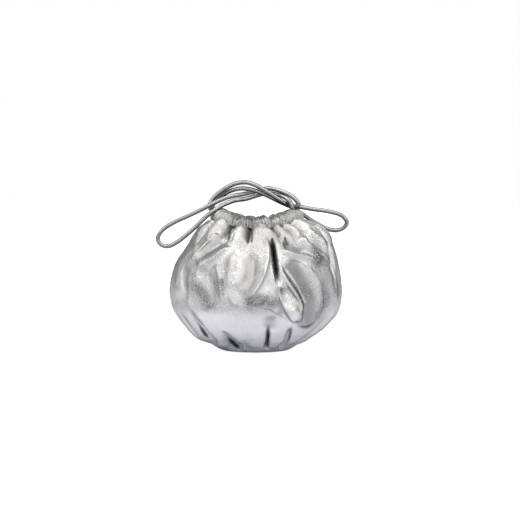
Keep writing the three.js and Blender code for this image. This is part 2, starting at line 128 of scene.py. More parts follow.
# Sections of the body from the floor up: height, then how far the section has swollen from the base, or
# higher up from the neck, to the full size: left, right, front, back.
SECTIONS = np.array(
    [
        (0.0, 0.0, 0.0, 0.0, 0.0),
        (0.013, 0.08, 0.08, 0.08, 0.08),
        (0.036, 0.2, 0.19, 0.22, 0.22),
        (0.06, 0.35, 0.32, 0.37, 0.37),
        (0.106, 0.55, 0.5, 0.57, 0.58),
        (0.177, 0.72, 0.72, 0.75, 0.76),
        (0.27, 0.87, 0.91, 0.89, 0.9),
        (0.364, 0.96, 0.98, 0.97, 0.97),
        (0.468, 1.0, 1.0, 1.0, 1.0),
        (0.571, 0.95, 0.97, 0.97, 0.96),
        (0.669, 0.85, 0.92, 0.88, 0.86),
        (0.76, 0.7, 0.86, 0.73, 0.71),
        (0.831, 0.55, 0.78, 0.58, 0.56),
        (0.877, 0.44, 0.69, 0.45, 0.44),
        (0.916, 0.31, 0.53, 0.32, 0.31),
        (0.948, 0.17, 0.28, 0.18, 0.18),
        (0.974, 0.06, 0.1, 0.07, 0.07),
        (1.0, 0.0, 0.0, 0.0, 0.0),
    ]
)
WIDEST_ROW = 8

Point = tuple[float, float, float]
Pixels = tuple[tuple[float, float], ...]

# Routes of the two drawstrings in metres: the left one leaves the neck on the left and loops on the right.
LEFT_CORD_ROUTE = (
    (-0.0536, -0.003, 0.1674), (-0.0542, -0.0015, 0.1724), (-0.0506, 0.0005, 0.1794),
    (-0.0436, 0.0015, 0.1864), (-0.034, 0.0015, 0.193), (-0.022, -0.0005, 0.1982), (-0.01, -0.004, 0.1992),
    (0.0008, -0.007, 0.1958), (0.0128, -0.0088, 0.1892), (0.024, -0.0082, 0.182), (0.034, -0.0035, 0.1752),
    (0.042, 0.004, 0.1716), (0.0524, 0.0086, 0.17), (0.068, 0.0094, 0.1673), (0.0896, 0.01, 0.164),
    (0.104, 0.011, 0.1592), (0.11, 0.012, 0.1515), (0.1064, 0.0144, 0.1448), (0.098, 0.016, 0.1414),
    (0.0872, 0.018, 0.143), (0.0752, 0.02, 0.149), (0.065, 0.021, 0.1552), (0.056, 0.0205, 0.1616),
    (0.0456, 0.014, 0.1684), (0.0344, 0.0054, 0.1736), (0.0236, -0.0022, 0.1792), (0.0124, -0.0034, 0.1846),
    (-0.0004, -0.0036, 0.1896), (-0.016, 0.0004, 0.192), (-0.0304, 0.005, 0.1886),
    (-0.0404, 0.0066, 0.1826), (-0.0484, 0.0062, 0.1754), (-0.0524, 0.0038, 0.1674),
)

RIGHT_CORD_ROUTE = (
    (0.0472, 0.0004, 0.1688), (0.0516, -0.0016, 0.173), (0.047, -0.0016, 0.1798), (0.038, -0.0005, 0.1858),
    (0.026, 0.001, 0.1902), (0.0146, 0.0026, 0.192), (0.0016, 0.005, 0.189), (-0.0136, 0.0028, 0.1854),
    (-0.028, -0.0034, 0.183), (-0.0392, -0.006, 0.1794), (-0.0532, -0.0086, 0.1728),
    (-0.0664, -0.0094, 0.166), (-0.0808, -0.0096, 0.1592), (-0.0952, -0.0096, 0.1526),
    (-0.1072, -0.0094, 0.1454), (-0.1138, -0.0092, 0.1384), (-0.1156, -0.0092, 0.1316),
    (-0.1116, -0.0094, 0.1256), (-0.1036, -0.01, 0.1238), (-0.0928, -0.011, 0.1286),
    (-0.082, -0.0124, 0.1368), (-0.0718, -0.0138, 0.1458), (-0.0628, -0.0148, 0.1546),
    (-0.052, -0.015, 0.164), (-0.04, -0.0105, 0.1716), (-0.0256, -0.005, 0.1776), (-0.0112, 0.0004, 0.1798),
    (0.0032, 0.0036, 0.184), (0.014, 0.005, 0.1864), (0.0236, 0.004, 0.1852), (0.032, 0.0012, 0.183),
    (0.039, -0.0034, 0.1788), (0.0434, -0.0054, 0.1718), (0.0446, -0.0052, 0.1676),
)


class Slot(Enum):
    """Names of the record's material slots; the pieces here don't take their finish from them."""

    BODY = "body_leather"
    CASING = "casing_leather"
    CORD = "cord_leather"


@dataclass(frozen=True)
class Furrow:
    """A furrow that starts at the neck or the base, ends at the height reach and fades out on the way."""

    turn: float
    lean: float
    reach: float
    width: float
    depth: float


@dataclass(frozen=True)
class FrontFold:
    """A ridge, hollow or pleat edge of the front.

    rise is below zero for a hollow. left and right are the reaches on the line's two sides, as seen on
    the photograph by someone who walks along it from its last point to its first. step is what the right
    side has of the rise: 1 for a ridge or hollow, less than 0 for a pleat whose edge stands over the
    leather on its right. sharp is 1 for a crease and 2 for a rounded swell. fade is the share of the line
    over which it dies away at each end.
    """

    name: str
    line: Pixels
    rise: float
    left: float
    right: float
    step: float = 1.0
    sharp: float = 1.5
    fade: tuple[float, float] = (0.3, 0.3)


@dataclass(frozen=True)
class Facet:
    """A panel of the front that lies flat near a line.

    reach goes from the line to the panel's edge. depth is how far the plane lies below the smooth form at
    the middle of the line, below zero where it stands out. up and right are the degrees that the panel
    faces away from the camera. strength is how flat it gets, and the last field is how much painted shade
    darkens the foil there, both from 0 to 1.
    """

    name: str
    line: Pixels
    reach: float
    depth: float
    up: float
    right: float
    strength: float = 1.0
    sharp: float = 4.0
    painted_shade: float = 0.0


@dataclass(frozen=True)
class PaintedCreaseShade:
    """Painted shade along a closed fold or over a shaded hollow of the front. width is half of the mark's,
    fade is as in FrontFold.
    """

    name: str
    line: Pixels
    width: float
    strength: float = 1.0
    fade: tuple[float, float] = (0.3, 0.3)


@dataclass(frozen=True)
class GrainPatch:
    """A part of the front where the grain stands out more, by gain, up to reach from a line."""

    name: str
    line: Pixels
    reach: float
    gain: float


@dataclass(frozen=True)
class RoundFold:
    """A ridge or hollow anywhere on the belly, along turns and heights, with one half width."""

    turn: float
    height: float
    end_turn: float
    end_height: float
    bow: float
    width: float
    rise: float


GATHERS = (
    Furrow(-85, -3, 0.72, 4.5, 2.5),
    Furrow(-58, 4, 0.9, 4.5, 5),
    Furrow(-33, 8, 0.76, 3.6, 8),
    Furrow(-27, 3, 0.88, 2, 3),
    Furrow(-6.5, 0, 0.84, 2.4, 7),
    Furrow(19, -3, 0.9, 2.4, 5),
    Furrow(31, -5, 0.88, 2.4, 4.5),
    Furrow(43, -2, 0.84, 3, 8),
    Furrow(66, 6, 0.5, 4.6, 7),
    Furrow(85, 4, 0.7, 4.5, 3.5),
    Furrow(105, -4, 0.5, 5.4, 7),
    Furrow(127, 3, 0.68, 5, 8),
    Furrow(146, 5, 0.45, 5.6, 9),
    Furrow(163, -3, 0.72, 4.5, 7),
    Furrow(181, 2, 0.5, 5.6, 9),
    Furrow(199, 4, 0.7, 4.5, 7),
    Furrow(220, -5, 0.48, 5.6, 9),
    Furrow(238, 3, 0.72, 5, 7),
    Furrow(256, -4, 0.55, 5.4, 7),
)

TUCKS = (
    Furrow(-88, 3, 0.3, 7, 5),
    Furrow(-66, 2, 0.36, 6.5, 5),
    Furrow(-31, 3, 0.12, 4, 3),
    Furrow(-8, -2, 0.12, 4, 2.5),
    Furrow(55, 2, 0.3, 6, 4),
    Furrow(78, 4, 0.34, 7, 5.5),
    Furrow(102, -3, 0.32, 7, 6.5),
    Furrow(128, 4, 0.3, 7, 7.5),
    Furrow(152, -2, 0.36, 6, 7),
    Furrow(177, 5, 0.28, 7, 8),
    Furrow(203, -3, 0.34, 6, 7.5),
    Furrow(228, 4, 0.3, 7, 7),
    Furrow(250, -2, 0.34, 7, 6.5),
)

BELLY_FOLDS = (
    RoundFold(95, 0.74, 92, 0.3, 3, 11, -4),
    RoundFold(118, 0.74, 112, 0.3, 4, 12, -6),
    RoundFold(137, 0.78, 141, 0.34, -3, 9, 6),
    RoundFold(172, 0.72, 166, 0.36, 4, 13, -6),
    RoundFold(190, 0.78, 196, 0.4, -3, 9, 6),
    RoundFold(229, 0.74, 222, 0.36, 3, 12, -6),
    RoundFold(246, 0.76, 240, 0.4, 2, 9, 5),
    RoundFold(262, 0.7, 268, 0.34, 2, 10, -4),
)

FRONT_FOLDS = (
    FrontFold(
        "slit of the deep pleat", ((272.4, 236), (273.2, 243), (274.6, 252), (276, 264), (277.2, 274),
        (277.6, 283)), -13, 2.6, 2.4, sharp=2.4, fade=(0.06, 0.45),
    ),
    FrontFold(
        "ridge left of the slit", ((266, 232), (268.4, 246), (267.6, 258), (264, 271), (258, 282),
        (250, 291), (240, 297)), 6.5, 2.8, 7, sharp=1.5, fade=(0.2, 0.25),
    ),
    FrontFold(
        "scoop", ((248, 240), (250.6, 254), (251, 267), (248, 279), (242, 289)), -4.5, 8, 8, sharp=2.6,
        fade=(0.35, 0.3),
    ),
    FrontFold(
        "scoop's round end", ((229.6, 285), (231, 292.5), (236, 298), (244, 298)), 2.4, 5, 3, sharp=1.7,
    ),
    FrontFold(
        "panel left of the scoop", ((237, 242), (233, 254), (231, 266), (231, 279), (234, 291)), 4.5, 7, 6,
        sharp=2,
    ),
    FrontFold(
        "tongue's left edge", ((277.6, 276), (278.7, 290), (282, 301), (286, 309), (290.8, 316.4),
        (294.8, 318.8)), 4.5, 9, 6, step=-0.45, sharp=1.3, fade=(0.3, 0.1),
    ),
    FrontFold(
        "tongue's rim", ((294.8, 318.8), (299.4, 311), (302, 301), (297.5, 291), (291, 282), (285.7, 273),
        (282, 265), (282, 258), (287, 252.6)), 4.5, 3, 2.6, step=0.7, sharp=1.3, fade=(0.08, 0.35),
    ),
    FrontFold(
        "dimple's outer rim", ((300, 259), (307.4, 263.4), (315, 272.6), (319.6, 283), (321, 295),
        (319.6, 307), (313.8, 318)), 2.6, 3, 3, sharp=1.4, fade=(0.2, 0.2),
    ),
    FrontFold(
        "ridge over the dimple", ((280, 243), (286, 248.5), (295, 251.6), (304, 253.6), (311, 257),
        (320, 261)), 6, 4, 3.2, sharp=1.5, fade=(0.25, 0.1),
    ),
    FrontFold(
        "valley under the right lobe", ((285, 234), (288, 240.5), (294, 245), (302, 247.4), (310, 250)), -8,
        3.4, 3.4, sharp=1.8, fade=(0.1, 0.45),
    ),
    FrontFold(
        "right lobe", ((296, 232), (304, 240), (311, 246), (316, 253), (319.5, 259.5)), 6, 5.5, 4,
        sharp=1.7, fade=(0.3, 0.08),
    ),
    FrontFold(
        "valley between the right lobes", ((306, 236), (313, 241), (320, 248), (328, 257)), -5, 2.6, 3,
        sharp=1.5,
    ),
    FrontFold(
        "outer right lobe", ((303, 229), (313, 233), (321.5, 241), (328, 251)), 4.5, 5, 4, sharp=1.7,
        fade=(0.3, 0.3),
    ),
    FrontFold(
        "right edge crease", ((327, 254), (332, 264), (335.5, 276), (337.4, 286), (338, 297)), -2.5, 2.6,
        2.6, sharp=1.4,
    ),
    FrontFold(
        "upper left pleat edge", ((219, 230), (210.4, 239), (201.4, 248), (189.6, 257.6)), 6, 9, 2,
        sharp=1.4, fade=(0.15, 0.25),
    ),
    FrontFold(
        "hollow under the upper left pleat", ((226, 236), (214, 243), (203, 251), (191, 260)), -6, 6, 5,
        sharp=2, fade=(0.2, 0.3),
    ),
    FrontFold(
        "second left pleat edge", ((233, 243), (222.5, 249.5), (213.5, 256), (203, 262), (196, 265)), 5.5,
        2.4, 9, sharp=1.4, fade=(0.2, 0.2),
    ),
    FrontFold(
        "bright left line", ((215, 259), (218, 266), (220, 276), (221, 288), (222.5, 298)), 4, 5, 2.6,
        sharp=1.4, fade=(0.15, 0.3),
    ),
    FrontFold(
        "long left hollow", ((207, 262), (211, 272), (213.6, 285), (214.6, 300), (215, 320)), -3.2, 6.5,
        4.5, sharp=1.9, fade=(0.25, 0.6),
    ),
    FrontFold(
        "left side hollow", ((187.5, 259), (185.5, 270), (185, 283), (187, 293)), -1.6, 4, 4, sharp=1.8,
    ),
    FrontFold("lower left swell", ((188, 290), (190, 300), (196, 311), (204, 321)), 2.5, 4, 4, sharp=1.8),
    FrontFold(
        "ledge", ((283, 313), (276, 306.5), (268, 303), (257, 303.5), (244, 300.5), (230, 299.5),
        (217, 300)), 4.4, 11, 15, sharp=1.15, fade=(0.15, 0.3),
    ),
    FrontFold(
        "bottom left crease", ((189, 300), (193.5, 310), (199, 320.5), (204.5, 329.5), (211, 337.5),
        (219, 344)), -5, 3, 5, sharp=1.5, fade=(0.5, 0.12),
    ),
    FrontFold(
        "bottom middle-left crease", ((221, 325), (225.5, 332), (230.5, 338), (236, 343), (244, 348)), -6,
        3, 5, sharp=1.5, fade=(0.35, 0.12),
    ),
    FrontFold(
        "bottom dimple", ((269, 309), (270.5, 315), (270, 322), (268.8, 329)), -2.6, 7, 7, sharp=2,
        fade=(0.4, 0.3),
    ),
    FrontFold(
        "bottom middle crease", ((269.4, 321), (268.8, 329), (268.4, 338), (266, 348)), -7, 2.2, 2.4,
        sharp=1.4, fade=(0.35, 0.1),
    ),
    FrontFold(
        "bottom right crease", ((292, 322), (290.4, 329), (288.4, 336), (284, 343), (278, 349)), -7, 2.4,
        2.6, sharp=1.4, fade=(0.35, 0.12),
    ),
)

# Flat panels of the front. The last number of the dimple's floor and of the left shadow is painted shade, a
# grey where the foil would mirror dark
FACETS = (
    Facet(
        "dimple's floor", ((292, 263), (297.6, 271), (303.6, 281), (308.6, 292), (309, 304), (305, 314)),
        11, 3.5, up=5, right=18, painted_shade=0.75,
    ),
    Facet(
        "tongue's face", ((284.6, 289), (289, 299), (294.4, 310)), 7, -3, up=25, right=4, strength=0.9,
        sharp=2.6,
    ),
    Facet("cream panel", ((261, 276), (262, 286), (258, 293)), 8, -2, up=22, right=4, strength=0.8),
    Facet(
        "left shadow", ((205, 268), (209, 280), (210, 292)), 6, 3, up=5, right=-36, strength=0.7, painted_shade=0.3,
    ),
)

# Painted shade: dark lines where deep folds close up, and soft dark patches where hollows fall into shade
PAINTED_CREASE_SHADES = (
    PaintedCreaseShade(
        "slit", ((272, 233), (273.8, 248), (275.6, 263), (277, 275), (277.8, 284)), 2.1, fade=(0.05, 0.4),
    ),
    PaintedCreaseShade("short slit", ((284.6, 232.5), (286, 238), (289.4, 243.5)), 1.3, fade=(0.15, 0.3)),
    PaintedCreaseShade("left of the left lobe", ((231.6, 224), (230, 231), (227.6, 239)), 1.1, 0.9),
    PaintedCreaseShade("between the middle lobes", ((252.6, 227), (252.4, 233), (251.6, 241)), 1.1, 0.9),
    PaintedCreaseShade("left lobe's fold", ((236, 227), (233.6, 233), (231.4, 240)), 0.8, 0.6),
    PaintedCreaseShade("under the upper left pleat", ((214, 234.6), (206.6, 241.4), (197.6, 250)), 0.8, 0.75),
    PaintedCreaseShade(
        "bottom left", ((196.5, 316), (200.6, 324), (205, 331), (209.6, 337)), 2.4, fade=(0.6, 0.25),
    ),
    PaintedCreaseShade(
        "bottom middle-left", ((225, 329), (229.6, 336), (235, 342), (242, 347)), 3, fade=(0.5, 0.25),
    ),
    PaintedCreaseShade(
        "bottom middle", ((268.8, 319), (268.3, 331), (267.6, 340), (266.5, 347)), 1.5, fade=(0.5, 0.2),
    ),
    PaintedCreaseShade("bottom right", ((292, 320), (290.8, 329), (289, 336), (286, 343)), 1.3, fade=(0.4, 0.4)),
    PaintedCreaseShade("right edge", ((332.4, 261), (336, 274), (337.8, 287), (338.2, 299)), 1, 0.8),
    PaintedCreaseShade("tongue's left edge", ((278.4, 288), (281.6, 300), (286, 309), (292.6, 318)), 0.8, 0.6),
    PaintedCreaseShade(
        "left of the tongue's rim", ((284.6, 275), (288, 281.6), (293, 289), (297.6, 295.6), (301, 302)), 1,
        0.8,
    ),
    PaintedCreaseShade("shade under the slit", ((278.6, 281), (282, 286), (286.6, 291)), 3.4, 0.4),
    PaintedCreaseShade(
        "dimple's upper rim", ((284, 258.6), (289, 255.6), (297, 257), (305, 261.6), (312, 268)), 0.8, 0.5,
    ),
    PaintedCreaseShade("dimple's lower rim", ((298, 320), (303, 322.6), (308, 322), (313, 318)), 1, 0.6),
    PaintedCreaseShade("shade by the bottom left crease", ((191.6, 305), (197, 316), (204, 327)), 3.6, 0.35),
    PaintedCreaseShade("shade by the middle-left crease", ((223, 327), (230, 335), (239, 342)), 5, 0.35),
    PaintedCreaseShade("upper left valley", ((226, 238), (214, 246), (201, 254)), 7.5, 0.28),
    PaintedCreaseShade(
        "scoop's floor", ((250, 244), (252.4, 256), (251, 268), (246, 281), (240, 291)), 10, 0.4,
        (0.3, 0.12),
    ),
    PaintedCreaseShade("bottom oval", ((269.6, 309), (270.2, 317), (269.2, 327)), 8, 0.34),
    PaintedCreaseShade("left stripe", ((186.6, 259), (185.6, 272), (186.4, 290)), 3, 0.42),
    PaintedCreaseShade("left fold's shade", ((208, 264), (212.6, 277), (214.4, 292), (215.4, 312)), 3.4, 0.25),
    PaintedCreaseShade("between the right lobes", ((313.6, 242.6), (320, 247.6), (327, 253.6), (331, 262)), 1, 0.6),
    PaintedCreaseShade("shade on the right lobe", ((291, 243.6), (296, 246.6), (303, 248.6)), 2.8, 0.4),
    PaintedCreaseShade("scoop's right edge", ((265, 256), (262.6, 270), (255, 284), (246, 294)), 0.9, 0.4),
    PaintedCreaseShade("ledge", ((256, 303), (268, 304), (276, 308.4), (285.6, 314.4), (291, 317.6)), 0.8, 0.5),
)

GRAIN_PATCHES = (
    GrainPatch("over the ledge", ((249, 298), (261, 295), (274, 298)), 8, 0.95),
    GrainPatch("beside the dimple", ((317, 259), (324, 270), (326, 285), (326, 300), (321, 311)), 8, 1),
    GrainPatch("left belly", ((197, 284), (204, 291), (208, 301)), 7, 1),
    GrainPatch("between the right lobes", ((314, 246), (320, 251), (325, 259)), 6, 1),
    GrainPatch("beside the bright line", ((222, 276), (223, 288)), 3.5, 1.2),
    GrainPatch("upper left panel", ((232, 262), (231, 280), (235, 293)), 9, 0.3),
)


def smoothstep(values: np.ndarray, low: float, high: float) -> np.ndarray:
    """A smooth step from 0 at low to 1 at high: 3 x squared less 2 x cubed."""
    share = np.clip((values - low) / (high - low), 0.0, 1.0)
    return share * share * (3.0 - 2.0 * share)


def spline(points: np.ndarray, places: np.ndarray) -> np.ndarray:
    """A Catmull-Rom curve through rows of numbers, evenly spaced in its parameter.

    Between two rows it is the cubic that passes through both, with slopes of half the step between each
    row's neighbours. Past each end, the end's own step is repeated.

    Args:
        points: one row for each point.
        places: places along the curve, from 0 to the number of the last row.

    Returns:
        One row for each place.
    """
    padded = np.vstack([points[:1] * 2 - points[1:2], points, points[-1:] * 2 - points[-2:-1]])
    index = np.clip(np.floor(places).astype(int), 0, len(points) - 2)
    t = (places - index)[:, None]
    a, b, c, d = (padded[index + k] for k in range(4))
    return 0.5 * (
        2 * b + (c - a) * t + (2 * a - 5 * b + 4 * c - d) * t**2 + (3 * b - a - 3 * c + d) * t**3
    )


def drawn_line(points: Pixels, count: int) -> np.ndarray:
    """So many points of the smooth line through pixels of the photograph, rows of two."""
    return spline(np.array(points, dtype=float), np.linspace(0, len(points) - 1, count))


def gradient_noise(points: np.ndarray, seed: int) -> np.ndarray:
    """Smooth noise of about -0.7 to 0.7, one cell for each unit.

    Each corner of a unit cell has a fixed slope, picked by a hash of its three whole numbers. The value is
    the mean of the eight slopes' heights at the point, weighted by a smooth step of its place in the cell.

    Args:
        points: one row of three numbers for each point.
        seed: picks the slopes.

    Returns:
        The noise at each point.
    """
    rng = np.random.default_rng(seed)
    order = rng.permutation(256)
    slopes = rng.normal(size=(256, 3))
    slopes /= np.linalg.norm(slopes, axis=1, keepdims=True)
    cell = np.floor(points).astype(int)
    inside = points - cell
    fade = inside**3 * (inside * (inside * 6 - 15) + 10)
    total = np.zeros(len(points))
    for corner in np.ndindex(2, 2, 2):
        key = (cell + corner) & 255
        hashed = order[(order[(order[key[:, 0]] + key[:, 1]) & 255] + key[:, 2]) & 255]
        height = ((inside - corner) * slopes[hashed]).sum(axis=1)
        total += height * np.where(corner, fade, 1 - fade).prod(axis=1)
    return total


def cell_noise(points: np.ndarray, across: float, up: float, seed: int) -> np.ndarray:
    """The noise at points in metres, with cells so many millimetres across and up."""
    return gradient_noise(points / np.array([across, across, up]) / MM, seed)


def turn_gap(turns: np.ndarray, other: np.ndarray | float) -> np.ndarray:
    """The signed difference between turns, from -180 to 180 degrees."""
    return (turns - other + 180.0) % 360.0 - 180.0


def crowded_turns(count: int, crowding: float) -> np.ndarray:
    """Turns round the bag in degrees, closer together at the front: phi less crowding times sin phi."""
    even = np.arange(count) * 2 * np.pi / count
    return np.degrees(even - crowding * np.sin(even))


def normals_of(grid: np.ndarray) -> np.ndarray:
    """Unit normals of a grid of points whose columns close on themselves.

    Each is the cross product of the step between the columns on either side and the step between rows.

    Args:
        grid: rows by columns by three.

    Returns:
        Normals in the same layout.
    """
    across = np.roll(grid, -1, axis=1) - np.roll(grid, 1, axis=1)
    normal = np.cross(across, np.gradient(grid, axis=0))
    return normal / np.maximum(np.linalg.norm(normal, axis=2, keepdims=True), 1e-12)


def neighbourhood_mean(values: np.ndarray, passes: int) -> np.ndarray:
    """A wide mean over a grid whose columns close.

    Args:
        values: rows by columns.
        passes: how many times each point becomes the mean of itself and its four neighbours.

    Returns:
        The mean in the same layout.
    """
    mean = values.copy()
    for _ in range(passes):
        rows = np.pad(mean, ((1, 1), (0, 0)), mode="edge")
        mean = (rows[:-2] + rows[2:] + mean + np.roll(mean, 1, axis=1) + np.roll(mean, -1, axis=1)) / 5
    return mean


def widest_minimum(values: np.ndarray, rows: int, columns: int) -> np.ndarray:
    """The least value near each point of a grid whose columns close.

    Args:
        values: rows by columns.
        rows: how far up and down to look.
        columns: how far round to look.

    Returns:
        The minimum in the same layout.
    """
    least = values.copy()
    for _ in range(rows):
        padded = np.pad(least, ((1, 1), (0, 0)), mode="edge")
        least = np.minimum(np.minimum(padded[:-2], padded[2:]), least)
    for _ in range(columns):
        least = np.minimum(np.minimum(np.roll(least, 1, axis=1), np.roll(least, -1, axis=1)), least)
    return least


def ring_mesh(name: str, rings: np.ndarray, close_rows: bool, caps: bool = False) -> bpy.types.Object:
    """A mesh through rings of points, each ring closed on itself.

    Args:
        name: the object's name.
        rings: rows by columns by three, in metres.
        close_rows: joins the last ring to the first.
        caps: closes each end with one polygon, where the rows aren't joined.

    Returns:
        The object, smooth shaded, linked to the scene.
    """
    rows, columns = rings.shape[:2]
    i = np.arange(rows if close_rows else rows - 1)[:, None]
    j = np.arange(columns)[None, :]
    here, ahead = i * columns, ((i + 1) % rows) * columns
    beside = (j + 1) % columns
    quads = np.stack([here + j, here + beside, ahead + beside, ahead + j], axis=-1).reshape(-1, 4)
    faces = quads.tolist()
    if caps:
        first = np.arange(columns)
        faces += [first[::-1].tolist(), (first + (rows - 1) * columns).tolist()]
    mesh = bpy.data.meshes.new(name)
    mesh.from_pydata(rings.reshape(-1, 3).tolist(), [], faces)
    mesh.polygons.foreach_set("use_smooth", np.ones(len(faces), dtype=bool))
    mesh.update()
    piece = bpy.data.objects.new(name, mesh)
    bpy.context.scene.collection.objects.link(piece)
    return piece


def add_mark(piece: bpy.types.Object, name: str, values: np.ndarray) -> None:
    """Gives each point of a piece a number that its material can read."""
    layer = piece.data.attributes.new(name, "FLOAT", "POINT")
    layer.data.foreach_set("value", values.ravel().astype(np.float32))


def along_line(line: np.ndarray, spots: np.ndarray) -> tuple[np.ndarray, np.ndarray, np.ndarray]:
    """How spots on a plane lie to a line.

    Args:
        line: the line's points, one row each.
        spots: one row of two numbers for each spot.

    Returns:
        The distance to the nearest point of the line, its side and its share of the line's length.
    """
    steps = np.diff(line, axis=0)
    lengths = np.linalg.norm(steps, axis=1)
    starts = np.concatenate([[0.0], np.cumsum(lengths)])
    best = np.full(len(spots), np.inf)
    side = np.zeros(len(spots))
    share = np.zeros(len(spots))
    for k, (step, length) in enumerate(zip(steps, lengths)):
        away = spots - line[k]
        t = np.clip(away @ step / length**2, 0.0, 1.0)
        distance = np.linalg.norm(away - t[:, None] * step, axis=1)
        nearer = distance < best
        best = np.where(nearer, distance, best)
        side = np.where(nearer, step[0] * away[:, 1] - step[1] * away[:, 0], side)
        share = np.where(nearer, (starts[k] + t * length) / starts[-1], share)
    return best, side, share


def close_to(line: np.ndarray, reach: float, places: np.ndarray, where: np.ndarray) -> np.ndarray:
    """Numbers of the places inside the line's box, widened by reach on every side."""
    low, high = line.min(axis=0) - reach, line.max(axis=0) + reach
    return np.flatnonzero(((places > low) & (places < high)).all(axis=1) & where)


def end_fade(share: np.ndarray, fade: tuple[float, float]) -> np.ndarray:
    """1 along a line and 0 at its ends, by a smooth step over each end's share of it."""
    return smoothstep(share, 0.0, fade[0]) * smoothstep(1 - share, 0.0, fade[1])


def node_extent(node: str) -> tuple[float, ...]:
    """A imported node's size along X, Y and Z, in metres."""
    low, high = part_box(node)
    return tuple(float(size) for size in np.array(high) - np.array(low))


@dataclass(frozen=True)
class BagForm:
    """The bag's smooth form and its folds, as functions of turn and height."""

    body_width: float
    body_depth: float
    body_height: float
    base_width: float
    base_depth: float
    turned_edge: float = 3.5 * MM
    neck_width: float = 88 * MM
    neck_depth: float = 54 * MM
    neck_offset: float = 2 * MM
    neck_edge: float = 5.45 * MM
    dip_front: float = 8.6 * MM
    dip_back: float = 9 * MM
    dip_from: float = 0.8
    lobe_out: float = 6.5 * MM

    def dip(self, turns: np.ndarray) -> np.ndarray:
        """How far the mouth sags below its ends: the dip times the squared cosine of the turn."""
        facing = np.cos(np.radians(turns))
        return np.where(facing > 0, self.dip_front, self.dip_back) * facing**2

    def puff(self, turns: np.ndarray) -> np.ndarray:
        """How far the gathers puff out between furrows.

        Between two furrows it is (4 s (1 - s)) to the puff's power, with s the share of the way across,
        times the square root of the gap over the mean gap.

        Args:
            turns: turns in degrees.

        Returns:
            0 in a furrow to 1 or a little more in a wide puff's middle.
        """
        furrows = np.array([row.turn for row in GATHERS], dtype=float)
        bounds = np.append(furrows, furrows[0] + 360.0)
        here = furrows[0] + (turns - furrows[0]) % 360.0
        index = np.clip(np.searchsorted(bounds, here, side="right") - 1, 0, len(furrows) - 1)
        gap = bounds[index + 1] - bounds[index]
        share = (here - bounds[index]) / gap
        size = np.sqrt(gap * len(furrows) / 360.0)
        return size * np.clip(4 * share * (1 - share), 0.0, 1.0) ** PUFF_POWER

    def smooth(self, turns: np.ndarray, rows: np.ndarray) -> np.ndarray:
        """The form without folds: an oval of four quarters at each height.

        The half widths come from the spline through SECTIONS. A point is the sine of the turn times the
        half width, and less the cosine times the half depth.

        Args:
            turns: turns in degrees, columns of the grid.
            rows: places along SECTIONS, rows of the grid.

        Returns:
            Rows by columns by three.
        """
        section = spline(SECTIONS, rows)
        angle = np.radians(turns)[None, :]
        below = (rows < WIDEST_ROW)[:, None]
        sine, cosine = np.sin(angle), np.cos(angle)
        height = section[:, 0:1]
        side = np.where(sine > 0, section[:, 2:3], section[:, 1:2])
        deep = np.where(cosine > 0, section[:, 3:4], section[:, 4:5])
        neck_x = self.neck_width / 2 + self.neck_edge + self.neck_offset * np.sign(sine)
        edge_x = np.where(below, self.base_width / 2 + self.turned_edge, neck_x)
        edge_y = np.where(
            below, self.base_depth / 2 + self.turned_edge, self.neck_depth / 2 + self.neck_edge
        )
        across = edge_x + (self.body_width / 2 - edge_x) * side
        front = edge_y + (self.body_depth / 2 - edge_y) * deep
        drop = self.dip(turns)[None, :] * smoothstep(height, self.dip_from, 1.0)
        up = np.maximum(height * self.body_height - drop, 0.0)
        return np.stack([across * sine, -front * cosine, up], axis=-1)

    def furrows(
        self,
        rows: tuple[Furrow, ...],
        progress_of: Callable[[Furrow], np.ndarray],
        turns: np.ndarray,
        radius: np.ndarray,
    ) -> np.ndarray:
        """Depth of the furrows of one end: a crease across each, faded by a quarter cosine along it.

        Args:
            rows: the furrows.
            progress_of: gives how far along a furrow each point lies, 0 where it starts and 1 at its end.
            turns: each point's turn.
            radius: each point's distance from the middle.

        Returns:
            The depth in metres.
        """
        depth = np.zeros_like(radius)
        for row in rows:
            progress = progress_of(row)
            centre = row.turn + row.lean * progress
            distance = np.radians(turn_gap(turns, centre)) * radius
            fade = np.where((progress >= 0) & (progress <= 1), np.cos(progress * np.pi / 2), 0.0)
            width = row.width * MM * (FURROW_START + FURROW_WIDENING * progress)
            depth += row.depth * MM * fade * np.exp(-(np.abs(distance / width) ** FURROW_SHARPNESS))
        return depth

    def belly(self, turns: np.ndarray, heights: np.ndarray, radius: np.ndarray) -> np.ndarray:
        """Rise of the belly's ridges less its hollows, each a swell across and a half sine along.

        Args:
            turns: each point's turn.
            heights: each point's height.
            radius: each point's distance from the middle.

        Returns:
            The rise in metres.
        """
        rise = np.zeros_like(radius)
        for fold in BELLY_FOLDS:
            progress = (fold.height - heights) / (fold.height - fold.end_height)
            live = (progress > 0) & (progress < 1)
            bow = fold.bow * 4 * progress * (1 - progress)
            centre = fold.turn + (fold.end_turn - fold.turn) * progress + bow
            distance = np.radians(turn_gap(turns, centre)) * radius
            fade = np.where(live, np.sin(np.clip(progress, 0, 1) * np.pi), 0.0)
            across = np.exp(-(np.abs(distance / (fold.width * MM)) ** BELLY_SHARPNESS))
            rise += fold.rise * MM * fade * across
        return rise


